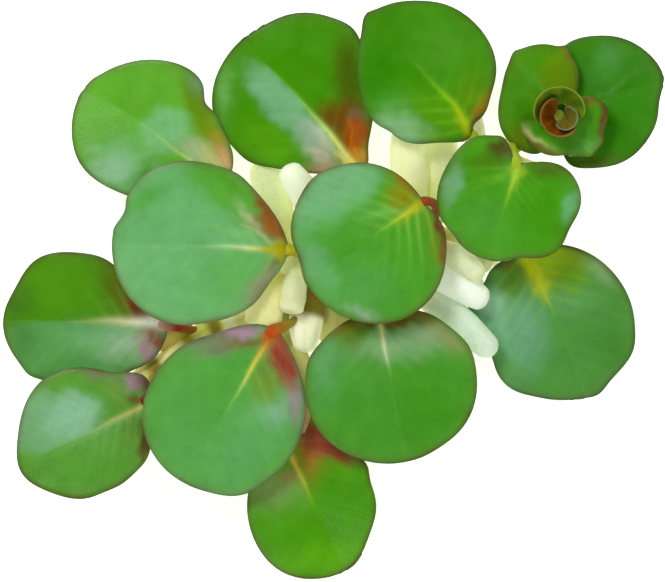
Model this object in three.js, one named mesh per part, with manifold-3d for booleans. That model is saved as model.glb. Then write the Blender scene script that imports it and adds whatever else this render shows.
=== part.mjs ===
// A shoot of floating ludwigia (Ludwigia helminthorrhiza), lifted off the water and laid on a flat surface.
// A creeping stem bears round leaves on petioles, a rosette of young leaves at its tip, and at its nodes
// clusters of spindle-shaped spongy white roots, which are the floats.
// Millimetres, +Z up. The origin is the middle of the plan outline, on the surface the plant lies on.
// The stem creeps from the lower left (-X, -Y) to the upper right (+X, +Y).

import * as THREE from 'three';
import { mergeVertices } from 'three/addons/utils/BufferGeometryUtils.js';
import Module from 'manifold-3d';

const wasm = await Module();
wasm.setup();

// Driving dimensions
const GAP = 0.3; // clearance that a grown-on piece keeps to the stem

const STEM_RADIUS = 1.45; // at the old end
const STEM_TIP_RADIUS = 0.85; // at the growing tip
const NODE_SWELLING = 0.25; // how much thicker the stem is at a node, as a share
const NODE_SPREAD = 0.022; // half the swelling's length, as a share of the stem

const PETIOLE_RADIUS = 0.85; // where it leaves the stem
const PETIOLE_TAPER = 1.5; // how late along the petiole it thins
const MIDRIB_RADIUS = 0.3; // where the petiole's keel ends under the blade
const MIDRIB_REACH = 0.42; // how far the keel runs along the blade, as a share
const CREASE_RADIUS = 0.8; // of the fold along the midrib

const BLADE_THICKNESS = 0.75; // at the midrib
const MARGIN_THICKNESS = 0.45;
const MARGIN_THINNING = 4; // how near the margin the blade thins
const BLADE_END_HALF_WIDTH = 0.75; // the blade's two ends aren't points
const LOBE_FALL = 4; // how soon a basal lobe fades along the blade
const LOBE_SPREAD = 1.5; // how far from the midrib a basal lobe starts

const BUD_THICKNESS = 0.55;
const BUD_LEAST_REACH = 0.25; // how far round the narrowest part of the sheet reaches, as a share
const BUD_FOOT_PHASE = 0.12; // where on the half wave of its width the sheet starts
const BUD_PHASE_SPAN = 0.8; // how much of that half wave it covers

const FLOAT_STALK_SHARE = 0.3; // a float's radius at its stalk, over its largest, unless it has its own
const FLOAT_TAPER = 1.3; // more keeps it thin for longer
const FLOAT_BLUNTNESS = 0.6; // less is blunter
const FLOAT_CLOSING = 0.93; // how nearly the tip closes

const NODE_SEARCH_STEPS = 200;
const STEM_SIDES = 8;
const STEM_STEPS = 30;
const PETIOLE_SIDES = 5;
const PETIOLE_STEPS = 7;
const FLOAT_SIDES = 8;
const FLOAT_STEPS = 5;
const BLADE_STEPS_ALONG = 11;
const BLADE_STEPS_ACROSS = 4;
const YOUNG_STEPS_ALONG = 9;
const BUD_STEPS_ALONG = 5;
const BUD_STEPS_ACROSS = 6;

// The stem's centreline, from its old end to its growing tip, which turns upwards.
const STEM_LINE = [
  [-41.8, -20.0, 5.6],
  [-36.7, -16.3, 6.6],
  [-25.7, -8.3, 7.2],
  [-16.4, -4.9, 7.4],
  [-11.6, 1.2, 7.5],
  [-8.8, 6.6, 7.6],
  [-1.5, 8.6, 7.8],
  [5.0, 7.8, 7.9],
  [11.2, 7.2, 8.0],
  [18.3, 11.6, 8.2],
  [25.9, 19.6, 8.8],
  [35.9, 28.1, 10.6],
  [41.8, 32.6, 12.2],
  [44.3, 34.4, 14.6],
  [44.9, 35.0, 17.4],
  [45.0, 35.1, 20.2],
];

// Leaves. The petiole's points run from the stem's centreline to the blade's base. heading is the midrib's
// direction in plan, in degrees from +X. Pairs are the left and the right half of the blade, seen from its
// base: halves are their widths, base and tip are how they start and end (0.5 is round, more is a wedge) and
// lobes are how far they reach back beside the petiole. pitch is the midrib's rise in degrees, at its base
// and at its tip. roll lifts the left half, fold lifts both, and cup adds to the margins' height, in mm.
const LEAVES = [
  {
    name: 'leaf_bottom_left',
    petiole: [[-36.7, -16.3, 6.6], [-36.2, -18.9, 10.0], [-38.3, -22.0, 12.2]],
    heading: 206, length: 26.8, halves: [13.8, 12.8],
    base: [0.55, 0.57], tip: [0.5, 0.5], lobes: [0, 0],
    pitch: [6, -8], roll: 6, fold: 5, cup: -0.6,
  },
  {
    name: 'leaf_outer_left',
    petiole: [[-25.7, -8.3, 7.2], [-30.2, -7.6, 9.2], [-34.6, -6.9, 10.4]],
    heading: 178.5, length: 31.3, halves: [12.8, 13.5],
    base: [0.6, 0.75], tip: [0.5, 0.5], lobes: [0, 0],
    pitch: [-2, -14], roll: -4, fold: 6, cup: -0.8,
  },
  {
    name: 'leaf_top_left',
    petiole: [[-16.4, -4.9, 7.4], [-19.2, 6.5, 9.4], [-19.6, 17.0, 10.4], [-20.9, 23.2, 10.8]],
    heading: 149.5, length: 34.2, halves: [14.2, 12.2],
    base: [0.6, 0.75], tip: [0.5, 0.52], lobes: [0, 0],
    pitch: [3, -12], roll: 2, fold: 5, cup: -0.6,
  },
  {
    name: 'leaf_inner_left',
    petiole: [[-8.8, 6.6, 7.6], [-7.0, 8.0, 12.8], [-9.0, 8.3, 17.2]],
    heading: 178, length: 35.3, halves: [16.4, 16.9],
    base: [0.6, 0.68], tip: [0.5, 0.5], lobes: [0, 0],
    pitch: [6, -8], roll: 2, fold: 4, cup: -0.6,
  },
  {
    name: 'leaf_front_left',
    petiole: [
      [-1.5, 8.6, 7.8], [-3.0, 2.4, 9.8], [-4.9, -3.4, 10.4], [-8.4, -6.4, 11.6], [-12.5, -8.6, 15.6],
    ],
    heading: 237.5, length: 34.6, halves: [16.6, 15.9],
    base: [0.56, 0.55], tip: [0.5, 0.5], lobes: [0, 0],
    pitch: [4, -10], roll: -2, fold: 6, cup: -0.8,
  },
  {
    name: 'leaf_bottom',
    petiole: [
      [-8.8, 6.6, 7.6], [-9.9, -0.6, 5.0], [-9.9, -7.0, 5.4], [-8.8, -11.8, 8.0],
      [-6.1, -17.6, 9.8], [-5.9, -24.0, 10.5], [-7.4, -29.0, 10.4],
    ],
    heading: 289.5, length: 29.2, halves: [10.9, 14.8],
    base: [0.6, 0.5], tip: [0.5, 0.5], lobes: [0, 0],
    pitch: [0, -14], roll: 3, fold: 5, cup: -0.5,
  },
  {
    name: 'leaf_front_right',
    petiole: [[5.0, 7.8, 7.9], [7.3, 2.8, 12.8], [8.7, -4.0, 16.9]],
    heading: 280.5, length: 30.8, halves: [17.1, 17.2],
    base: [0.55, 0.5], tip: [0.5, 0.5], lobes: [0.5, 0.5],
    pitch: [2, -10], roll: 0, fold: 4, cup: -0.6,
  },
  {
    name: 'leaf_top_middle',
    petiole: [[11.2, 7.2, 8.0], [9.8, 13.8, 10.6], [7.0, 20.4, 12.2], [4.5, 24.4, 13.2]],
    heading: 129, length: 34.6, halves: [16.4, 16.4],
    base: [0.8, 0.75], tip: [0.5, 0.5], lobes: [0, 0],
    pitch: [4, -8], roll: -11, fold: -2, cup: -0.4,
  },
  {
    name: 'leaf_centre',
    petiole: [[18.3, 11.6, 8.2], [19.6, 13.4, 13.0], [20.4, 17.0, 18.0], [17.9, 17.8, 21.0]],
    heading: 216.5, length: 28.8, halves: [16.9, 16.4],
    base: [0.46, 0.46], tip: [0.5, 0.5], lobes: [1, 1],
    pitch: [8, -2], roll: 0, fold: 3, cup: -0.8,
  },
  {
    name: 'leaf_lower_right',
    petiole: [[28.6, 22.0, 9.4], [33.6, 15.5, 10.2], [38.5, 8.1, 10.6]],
    heading: 292.6, length: 32.2, halves: [15.8, 15.3],
    base: [0.5, 0.36], tip: [0.5, 0.52], lobes: [0.5, 0.5],
    pitch: [-5, -9], roll: 9, fold: 2, cup: -0.4,
  },
  {
    name: 'leaf_top_right',
    petiole: [[25.9, 19.6, 8.8], [27.2, 25.3, 13.8], [28.3, 30.2, 16.8]],
    heading: 130, length: 32.6, halves: [13.3, 14.3],
    base: [0.76, 0.62], tip: [0.8, 0.5], lobes: [0, 0],
    pitch: [8, 0], roll: -2, fold: 5, cup: -0.7,
  },
  {
    name: 'leaf_inner_right',
    petiole: [[35.9, 28.1, 10.6], [35.3, 29.0, 15.4], [35.7, 28.3, 19.6], [36.4, 25.2, 21.6]],
    heading: 250.5, length: 19.9, halves: [15.0, 13.2],
    base: [0.4, 0.4], tip: [0.5, 0.5], lobes: [8, 11],
    pitch: [4, -14], roll: -4, fold: 4, cup: -0.8,
  },
];

// Young leaves of the rosette, on short petioles round the stem's upturned tip.
const YOUNG_LEAVES = [
  {
    name: 'tip_leaf_right',
    petiole: [[43.4, 33.8, 13.6], [45.2, 32.9, 14.8], [46.5, 34.2, 15.8]],
    heading: 26, length: 21.4, halves: [12.2, 11.4],
    base: [0.42, 0.42], tip: [0.56, 0.62], lobes: [6, 13],
    pitch: [8, 0], roll: 0, fold: 5, cup: -0.5,
  },
  {
    name: 'tip_leaf_left',
    petiole: [[44.7, 34.8, 15.6], [43.1, 36.3, 17.2], [44.0, 36.6, 18.2]],
    heading: 124, length: 13.4, halves: [9.9, 8.7],
    base: [0.38, 0.45], tip: [0.8, 0.5], lobes: [12, 3],
    pitch: [12, 2], roll: 0, fold: 7, cup: -0.4,
  },
  {
    name: 'tip_leaf_front',
    petiole: [[44.9, 35.0, 16.6], [46.6, 33.3, 18.2], [46.0, 32.9, 19.4]],
    heading: 313, length: 6.6, halves: [8.8, 7.7],
    base: [0.36, 0.36], tip: [0.5, 0.5], lobes: [5, 12],
    pitch: [2, 6], roll: 0, fold: 24, cup: -0.6,
  },
];

// Unopened leaves at the tip, curled round an upright axis. facing is the direction of the midrib from the
// axis, in degrees from +X, and wrap is how far the sheet reaches round each way. Radii and heights run from
// the sheet's foot to its rim.
const BUD_AXIS = [45.0, 35.2];
const BUD_LEAVES = [
  { name: 'bud_leaf_outer', facing: 96, wrap: 98, radii: [2.4, 5.0], heights: [21.0, 26.4] },
  { name: 'bud_leaf_middle', facing: 222, wrap: 100, radii: [1.4, 3.4], heights: [21.0, 26.0] },
  { name: 'bud_leaf_inner', facing: 330, wrap: 110, radii: [0.5, 1.9], heights: [21.0, 25.4] },
];

// Floats: spongy roots, thin where they leave the stem and blunt at the tip. The points run from the stem to
// the tip, width is the largest, and widest is the share of the length where that is. A fuller float has a
// stalk share of its own.
const FLOATS = [
  {
    name: 'float_left_a', width: 3.6, widest: 0.55, stalk: 0.6,
    line: [[-28.6, -6.6, 6.6], [-32.0, -8.4, 6.6], [-35.6, -11.2, 6.4]],
  },
  {
    name: 'float_left_back_a', width: 6.2, widest: 0.62, stalk: 0.5,
    line: [[-9.4, 9.2, 6.0], [-11.4, 16.6, 6.2], [-14.6, 26.0, 6.6]],
  },
  {
    name: 'float_left_back_b', width: 5.6, widest: 0.6, stalk: 0.5,
    line: [[-2.4, 11.4, 9.4], [-5.0, 18.0, 13.1], [-8.9, 26.0, 15.0]],
  },
  {
    name: 'float_middle_back_a', width: 6.8, widest: 0.6, stalk: 0.5,
    line: [[16.6, 14.0, 9.6], [15.4, 22.0, 10.6], [14.6, 33.0, 10.4]],
  },
  {
    name: 'float_middle_back_b', width: 6.6, widest: 0.6, stalk: 0.5,
    line: [[18.4, 14.9, 6.6], [20.4, 22.0, 6.4], [21.6, 32.0, 8.0]],
  },
  {
    name: 'float_right_a', width: 4.0, widest: 0.6, stalk: 0.5,
    line: [[21.3, 12.0, 6.2], [25.9, 9.1, 8.8], [31.1, 4.3, 11.6]],
  },
  {
    name: 'float_right_b', width: 4.0, widest: 0.6, stalk: 0.5,
    line: [[19.6, 9.6, 9.0], [24.6, 6.9, 13.0], [29.7, 2.6, 15.6]],
  },
  {
    name: 'float_right_c', width: 5.8, widest: 0.6, stalk: 0.5,
    line: [[13.8, 5.6, 9.4], [22.0, 2.6, 11.6], [30.8, -2.4, 12.2]],
  },
  {
    name: 'float_right_d', width: 5.9, widest: 0.6, stalk: 0.5,
    line: [[12.4, 4.0, 6.6], [21.8, -3.4, 9.2], [32.3, -12.6, 11.6]],
  },
  {
    name: 'float_right_e', width: 5.0, widest: 0.6,
    line: [[20.5, 8.2, 6.3], [24.6, 4.4, 6.1], [29.6, -0.6, 6.2]],
  },
  {
    name: 'float_front_a', width: 5.8, widest: 0.55, stalk: 0.5,
    line: [[-7.4, 4.0, 9.6], [-7.0, 0.2, 13.4], [-8.1, -5.4, 14.4]],
  },
  {
    name: 'float_front_b', width: 6.0, widest: 0.55, stalk: 0.5,
    line: [[-11.6, 3.2, 11.0], [-13.2, -1.2, 12.0], [-14.2, -7.0, 11.4]],
  },
  {
    name: 'float_front_c', width: 6.8, widest: 0.55,
    line: [[-2.4, 4.4, 5.4], [-4.7, -3.4, 6.4], [-5.3, -12.8, 8.0]],
  },
  {
    name: 'float_under_a', width: 5.0, widest: 0.6,
    line: [[-38.2, -14.8, 5.2], [-41.8, -13.6, 2.3], [-48.0, -12.4, 1.5]],
  },
  {
    name: 'float_under_b', width: 5.0, widest: 0.6,
    line: [[-35.8, -18.2, 5.0], [-33.8, -21.2, 2.3], [-30.4, -26.0, 1.5]],
  },
  {
    name: 'float_under_c', width: 5.0, widest: 0.6,
    line: [[-26.6, -6.2, 5.4], [-29.2, -3.4, 2.3], [-34.2, 1.0, 1.5]],
  },
  {
    name: 'float_under_d', width: 5.0, widest: 0.6,
    line: [[-24.4, -10.4, 5.4], [-22.2, -13.6, 2.3], [-19.0, -19.0, 1.5]],
  },
  {
    name: 'float_under_e', width: 5.0, widest: 0.6,
    line: [[-18.0, -2.9, 5.4], [-20.4, 0.8, 2.3], [-24.6, 6.8, 1.5]],
  },
  {
    name: 'float_under_f', width: 5.2, widest: 0.6,
    line: [[0.6, 6.4, 5.4], [2.0, 1.6, 2.3], [3.0, -7.4, 1.5]],
  },
  {
    name: 'float_under_g', width: 5.2, widest: 0.6,
    line: [[-1.8, 10.6, 5.6], [-2.2, 15.0, 2.4], [-2.6, 23.0, 1.5]],
  },
  {
    name: 'float_under_h', width: 5.2, widest: 0.6,
    line: [[6.6, 5.6, 5.6], [9.0, 0.8, 2.4], [11.8, -8.8, 1.5]],
  },
  {
    name: 'float_under_i', width: 4.8, widest: 0.65,
    line: [[37.2, 26.4, 8.0], [40.0, 23.8, 3.6], [45.6, 20.2, 1.3]],
  },
  {
    name: 'float_under_j', width: 5.2, widest: 0.6,
    line: [[18.8, 9.4, 5.4], [19.8, 4.2, 2.3], [21.4, -5.6, 1.5]],
  },
  {
    name: 'float_under_k', width: 4.8, widest: 0.65,
    line: [[35.2, 30.4, 8.2], [36.0, 34.4, 3.4], [37.8, 41.4, 1.3]],
  },
  {
    name: 'float_under_l', width: 5.2, widest: 0.6,
    line: [[27.0, 17.6, 6.2], [28.8, 13.2, 2.6], [32.4, 5.0, 1.5]],
  },
  {
    name: 'float_under_m', width: 5.0, widest: 0.6,
    line: [[30.6, 22.2, 6.8], [34.2, 20.2, 2.8], [40.2, 15.8, 1.5]],
  },
  {
    name: 'float_under_n', width: 5.0, widest: 0.6,
    line: [[28.2, 24.4, 6.6], [28.8, 28.4, 2.8], [29.8, 36.2, 1.5]],
  },
  {
    name: 'float_tip_a', width: 3.4, widest: 0.6,
    line: [[43.0, 31.0, 11.2], [45.8, 29.2, 7.4], [48.4, 28.2, 4.6]],
  },
  {
    name: 'float_tip_b', width: 3.4, widest: 0.6,
    line: [[41.0, 34.6, 10.6], [41.6, 37.4, 7.6], [43.0, 40.6, 4.8]],
  },
];

const STEM_MATERIAL = new THREE.MeshStandardMaterial({ color: '#a9a24a', roughness: 0.5, metalness: 0 });
const LEAF_MATERIAL = new THREE.MeshStandardMaterial({ color: '#4f9a2c', roughness: 0.35, metalness: 0 });
const YOUNG_MATERIAL = new THREE.MeshStandardMaterial({ color: '#5f9420', roughness: 0.35, metalness: 0 });
const BUD_MATERIAL = new THREE.MeshStandardMaterial({ color: '#8a4a1c', roughness: 0.4, metalness: 0 });
const FLOAT_MATERIAL = new THREE.MeshStandardMaterial({ color: '#ece9c4', roughness: 0.6, metalness: 0 });

// Solids

// The solid of a closed geometry.
function solidOf(geometry) {
  const bare = geometry.clone();
  bare.deleteAttribute('normal');
  bare.deleteAttribute('uv');
  const merged = mergeVertices(bare, 1e-4);
  return new wasm.Manifold(
    new wasm.Mesh({
      numProp: 3,
      vertProperties: new Float32Array(merged.attributes.position.array),
      triVerts: new Uint32Array(merged.index.array),
    }),
  );
}

// The geometry of a solid.
function geometryOf(solid) {
  const mesh = solid.getMesh();
  return new THREE.BufferGeometry()
    .setAttribute('position', new THREE.BufferAttribute(new Float32Array(mesh.vertProperties), 3))
    .setIndex(new THREE.BufferAttribute(new Uint32Array(mesh.triVerts), 1));
}

function named(geometry, name, material) {
  const mesh = new THREE.Mesh(geometry, material);
  mesh.name = name;
  return mesh;
}

function curveThrough(points) {
  return new THREE.CatmullRomCurve3(points.map((p) => new THREE.Vector3(...p)), false, 'centripetal');
}

// Shares that lie closer together towards both ends.
function easedShare(share) {
  return 0.5 - 0.5 * Math.cos(Math.PI * share);
}

// A round bar along a curve, with closed flat ends and a flat side down. radiusAt gives its radius at a
// share of its length, and ease spaces its rings.
function roundBar(curve, radiusAt, sides, steps, ease = (share) => share) {
  const bar = new THREE.CylinderGeometry(1, 1, 1, sides, steps, false, Math.PI / sides);
  const rings = [];
  const aside = new THREE.Vector3();
  for (let i = 0; i <= steps; i += 1) {
    const share = ease(i / steps);
    const ahead = curve.getTangentAt(share);
    if (i === 0) aside.set(0, 0, 1).cross(ahead);
    aside.addScaledVector(ahead, -aside.dot(ahead)).normalize();
    rings.push({
      centre: curve.getPointAt(share),
      aside: aside.clone(),
      below: new THREE.Vector3().crossVectors(aside, ahead),
      radius: radiusAt(share),
    });
  }
  const position = bar.attributes.position;
  for (let k = 0; k < position.count; k += 1) {
    const ring = rings[Math.round((position.getY(k) + 0.5) * steps)];
    const point = ring.centre.clone()
      .addScaledVector(ring.aside, position.getX(k) * ring.radius)
      .addScaledVector(ring.below, position.getZ(k) * ring.radius);
    position.setXYZ(k, point.x, point.y, point.z);
  }
  return bar;
}

// The stem

// The share of a curve's length at which it passes a point.
function shareAt(curve, point) {
  const wanted = new THREE.Vector3(...point);
  const shares = Array.from({ length: NODE_SEARCH_STEPS + 1 }, (_, i) => i / NODE_SEARCH_STEPS);
  const distances = shares.map((share) => curve.getPointAt(share).distanceTo(wanted));
  return shares[distances.indexOf(Math.min(...distances))];
}

// The stem's radius at a share of its length: it tapers, and swells at its nodes.
function stemRadiusAt(curve) {
  const nodes = STEM_LINE.slice(1, -1).map((point) => shareAt(curve, point));
  return (share) => {
    const plain = THREE.MathUtils.lerp(STEM_RADIUS, STEM_TIP_RADIUS, share);
    const swelling = nodes.reduce((sum, n) => sum + Math.exp(-(((share - n) / NODE_SPREAD) ** 2)), 0);
    return plain * (1 + NODE_SWELLING * Math.min(1, swelling));
  };
}

const stemCurve = curveThrough(STEM_LINE);
const stemRadius = stemRadiusAt(stemCurve);
const stemSolid = solidOf(roundBar(stemCurve, stemRadius, STEM_SIDES, STEM_STEPS));
const stemClearance = solidOf(
  roundBar(stemCurve, (share) => stemRadius(share) + GAP, STEM_SIDES, STEM_STEPS),
);

// Leaves

function tangentOfDegrees(angle) {
  return Math.tan(THREE.MathUtils.degToRad(angle));
}

// A point on the blade's middle surface, with +X ahead and +Y to the left. along runs from 0 at the base to
// 1 at the tip, across from -1 at the right margin to 1 at the left.
function bladePoint(leaf, along, across) {
  const side = across > 0 ? 0 : 1;
  const base = leaf.base[side];
  const tip = leaf.tip[side];
  const widest = base / (base + tip);
  const shape = (along / widest) ** base * ((1 - along) / (1 - widest)) ** tip;
  const half = Math.hypot(BLADE_END_HALF_WIDTH, leaf.halves[side] * shape);
  const back = leaf.lobes[side] * shape * (1 - along) ** LOBE_FALL * Math.abs(across) ** LOBE_SPREAD;
  const x = leaf.length * along - back;
  const y = across * half;
  const rise = tangentOfDegrees(leaf.pitch[0]);
  const bend = (tangentOfDegrees(leaf.pitch[1]) - rise) / (2 * leaf.length);
  const crease = Math.hypot(y, CREASE_RADIUS) - CREASE_RADIUS;
  const z = x * rise + x * x * bend
    + y * tangentOfDegrees(leaf.roll)
    + crease * tangentOfDegrees(leaf.fold)
    + leaf.cup * (y / leaf.halves[side]) ** 2;
  return new THREE.Vector3(x, y, z);
}

// Turns and moves a point of the blade to where the leaf stands.
function placed(leaf, point) {
  const root = new THREE.Vector3(...leaf.petiole.at(-1));
  return point.applyAxisAngle(new THREE.Vector3(0, 0, 1), THREE.MathUtils.degToRad(leaf.heading)).add(root);
}

// The blade: a box whose length, width and thickness are mapped to the leaf's surface.
function blade(leaf, stepsAlong) {
  const box = new THREE.BoxGeometry(1, 2, 1, stepsAlong, BLADE_STEPS_ACROSS, 1);
  const position = box.attributes.position;
  for (let k = 0; k < position.count; k += 1) {
    const along = easedShare(position.getX(k) + 0.5);
    const across = position.getY(k);
    const thickness = THREE.MathUtils.lerp(BLADE_THICKNESS, MARGIN_THICKNESS, across ** MARGIN_THINNING);
    const point = bladePoint(leaf, along, across);
    point.z += position.getZ(k) * thickness;
    placed(leaf, point);
    position.setXYZ(k, point.x, point.y, point.z);
  }
  return box;
}

// The petiole, which goes on as a keel under the midrib.
function petiole(leaf) {
  const keel = [MIDRIB_REACH / 3, MIDRIB_REACH].map((along) => {
    const point = bladePoint(leaf, along, 0);
    point.z -= BLADE_THICKNESS / 2;
    return placed(leaf, point).toArray();
  });
  const curve = curveThrough([...leaf.petiole, ...keel]);
  const radiusAt = (share) => THREE.MathUtils.lerp(PETIOLE_RADIUS, MIDRIB_RADIUS, share ** PETIOLE_TAPER);
  return roundBar(curve, radiusAt, PETIOLE_SIDES, PETIOLE_STEPS);
}

function leafMesh(leaf, material, stepsAlong) {
  const solid = solidOf(blade(leaf, stepsAlong)).add(solidOf(petiole(leaf))).subtract(stemClearance);
  return named(geometryOf(solid), leaf.name, material);
}

// The bud

// An unopened leaf: a box whose length, width and thickness are mapped to a sheet curled round the axis.
function budMesh(leaf) {
  const box = new THREE.BoxGeometry(1, 2, 1, BUD_STEPS_ALONG, BUD_STEPS_ACROSS, 1);
  const position = box.attributes.position;
  for (let k = 0; k < position.count; k += 1) {
    const along = easedShare(position.getX(k) + 0.5);
    const wave = Math.sqrt(Math.sin(Math.PI * (BUD_FOOT_PHASE + BUD_PHASE_SPAN * along)));
    const reach = THREE.MathUtils.lerp(BUD_LEAST_REACH, 1, wave);
    const turn = THREE.MathUtils.degToRad(leaf.facing + position.getY(k) * leaf.wrap * reach);
    const radius = THREE.MathUtils.lerp(...leaf.radii, Math.sin((Math.PI / 2) * along))
      - position.getZ(k) * BUD_THICKNESS;
    const height = THREE.MathUtils.lerp(...leaf.heights, along);
    position.setXYZ(k, BUD_AXIS[0] + radius * Math.cos(turn), BUD_AXIS[1] + radius * Math.sin(turn), height);
  }
  return named(geometryOf(solidOf(box)), leaf.name, BUD_MATERIAL);
}

// Floats

// A float's radius at a share of its length: it swells from its stalk to its widest place, then rounds off.
function floatRadius(float, share) {
  const grown = share / float.widest;
  const rounded = (FLOAT_CLOSING * (share - float.widest)) / (1 - float.widest);
  const swelling = share < float.widest
    ? Math.sin((Math.PI / 2) * grown) ** FLOAT_TAPER
    : Math.cos((Math.PI / 2) * rounded) ** FLOAT_BLUNTNESS;
  return (float.width / 2) * THREE.MathUtils.lerp(float.stalk ?? FLOAT_STALK_SHARE, 1, swelling);
}

// A float. Where it lies on the surface under the plant, it is pressed flat.
function floatMesh(float) {
  const radiusAt = (share) => floatRadius(float, share);
  const bar = roundBar(curveThrough(float.line), radiusAt, FLOAT_SIDES, FLOAT_STEPS, easedShare);
  const position = bar.attributes.position;
  for (let k = 0; k < position.count; k += 1) {
    position.setZ(k, Math.max(0, position.getZ(k)));
  }
  return named(geometryOf(solidOf(bar)), float.name, FLOAT_MATERIAL);
}

// The plant

const plant = new THREE.Group();
plant.add(named(geometryOf(stemSolid), 'stem', STEM_MATERIAL));
LEAVES.forEach((leaf) => plant.add(leafMesh(leaf, LEAF_MATERIAL, BLADE_STEPS_ALONG)));
YOUNG_LEAVES.forEach((leaf) => plant.add(leafMesh(leaf, YOUNG_MATERIAL, YOUNG_STEPS_ALONG)));
BUD_LEAVES.forEach((leaf) => plant.add(budMesh(leaf)));
FLOATS.forEach((float) => plant.add(floatMesh(float)));

export default plant;
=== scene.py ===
"""A shoot of floating ludwigia, lifted off the water and laid on a pale surface.

The stem creeps over the surface from node to node. It bears round leaves on petioles, a rosette of young
leaves round a curled bud at its tip, and tufts of spongy white floats. Lengths in the tables are in
millimetres and angles in degrees, in the frame of the solids: +X and +Y lie in the surface, +Z points up.
"""

import logging
import math
from collections.abc import Callable
from dataclasses import dataclass
from enum import Enum

import bpy
import numpy as np
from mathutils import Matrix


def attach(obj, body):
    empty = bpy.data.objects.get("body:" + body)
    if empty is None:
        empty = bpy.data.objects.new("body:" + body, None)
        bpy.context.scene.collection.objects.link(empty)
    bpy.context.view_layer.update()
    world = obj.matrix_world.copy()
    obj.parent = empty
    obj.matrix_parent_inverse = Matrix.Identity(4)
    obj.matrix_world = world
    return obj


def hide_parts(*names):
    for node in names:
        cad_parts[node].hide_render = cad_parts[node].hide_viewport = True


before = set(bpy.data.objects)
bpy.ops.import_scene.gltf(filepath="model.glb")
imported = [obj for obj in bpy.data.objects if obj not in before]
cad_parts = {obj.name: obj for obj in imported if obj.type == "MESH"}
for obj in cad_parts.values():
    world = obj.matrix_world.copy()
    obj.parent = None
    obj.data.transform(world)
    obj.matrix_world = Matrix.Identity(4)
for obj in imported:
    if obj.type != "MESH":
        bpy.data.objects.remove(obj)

LOG = logging.getLogger("ludwigia")
MM = 0.001

Array = np.ndarray
Point = tuple[float, float, float]
Pair = tuple[float, float]
Mesh = tuple[int, int]
RadiusAt = Callable[[Array, Array], Array]

# Sizes that the solids have too
STEM_RADIUS = 1.45
STEM_TIP_RADIUS = 0.85
NODE_SWELLING = 0.25
NODE_SPREAD = 0.022
PETIOLE_RADIUS = 0.85
PETIOLE_TAPER = 1.5
MIDRIB_RADIUS = 0.3
MIDRIB_REACH = 0.42
CREASE_RADIUS = 0.8
LOBE_FALL = 4
LOBE_SPREAD = 1.5
FLOAT_STALK_SHARE = 0.3
FLOAT_TAPER = 1.3
FLOAT_BLUNTNESS = 0.6
FLOAT_CLOSING = 0.93
BUD_LEAST_REACH = 0.25
BUD_FOOT_PHASE = 0.12
BUD_PHASE_SPAN = 0.8

# How finely things are modelled
LINE_STEPS = 61  # places from one given point of a line to the next
DIRECTION_STEP = 0.004  # over which a line's direction is taken, as a share of its length
MARGIN_STEPS = 121  # places along each margin of a blade
LEAF_MESH: Mesh = (112, 80)  # faces along a blade and across it
YOUNG_LEAF_MESH: Mesh = (80, 56)
STALK_MESH: Mesh = (16, 40)  # faces round a petiole and along it
FLOAT_MESH: Mesh = (32, 48)
STEM_MESH: Mesh = (32, 420)
BUD_LEAF_MESH: Mesh = (36, 72)  # faces up a bud leaf and across it


class Side(Enum):
    """Which half of a blade something lies on, seen from its base."""

    LEFT = 1
    RIGHT = -1
    BOTH = 0


class Tufting(Enum):
    """How far a bar's rings are drawn together towards its ends."""

    EVEN = "even"
    EASED = "eased"


def linear(tone: str) -> Array:
    """The linear red, green and blue of a tone such as "#4f9a2c"."""
    value = np.array([int(tone[k:k + 2], 16) / 255 for k in (1, 3, 5)])
    return np.where(value <= 0.04045, value / 12.92, ((value + 0.055) / 1.055) ** 2.4)


def eased(share: Array) -> Array:
    """Shares that lie closer together towards both ends."""
    return 0.5 - 0.5 * np.cos(np.pi * share)


def smooth_step(low: float, high: float, value: Array) -> Array:
    """Rises smoothly from 0 at low to 1 at high."""
    t = np.clip((value - low) / (high - low), 0, 1)
    return t * t * (3 - 2 * t)


def up_from(base: float, share: Array) -> Array:
    """Goes from a base value to 1 as a share goes from 0 to 1."""
    return base + (1 - base) * share


def ripples(x: Array, y: Array, waves: tuple[Point, ...]) -> Array:
    """The sum of slow waves at places on a blade.

    Args:
        x: Places ahead of the blade's base.
        y: Places to the left of the blade's axis.
        waves: How fast each runs ahead and to the left, in radians a millimetre, and how strong it is.

    Returns:
        The sum at each place.
    """
    return sum(strength * np.sin(ahead * x + left * y) for ahead, left, strength in waves)


def blend(tones: Array, tone: Array, share: Array) -> Array:
    """Lays a tone over others.

    Args:
        tones: The tones underneath, one row each.
        tone: The tone laid over them, one or a row each.
        share: How much of it, from 0 to 1, for each row.

    Returns:
        The mixed tones.
    """
    share = np.clip(share, 0, 1)[:, None]
    return tones * (1 - share) + tone * share


def graded(share: Array, stops: Array, tones: tuple[str, ...]) -> Array:
    """Tones that change along a piece.

    Args:
        share: Each place's share of the piece's length.
        stops: The share at which each tone is reached.
        tones: The tones.

    Returns:
        A linear tone for each place.
    """
    known = np.array([linear(tone) for tone in tones])
    return np.column_stack([np.interp(share, stops, known[:, k]) for k in range(3)])


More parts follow.
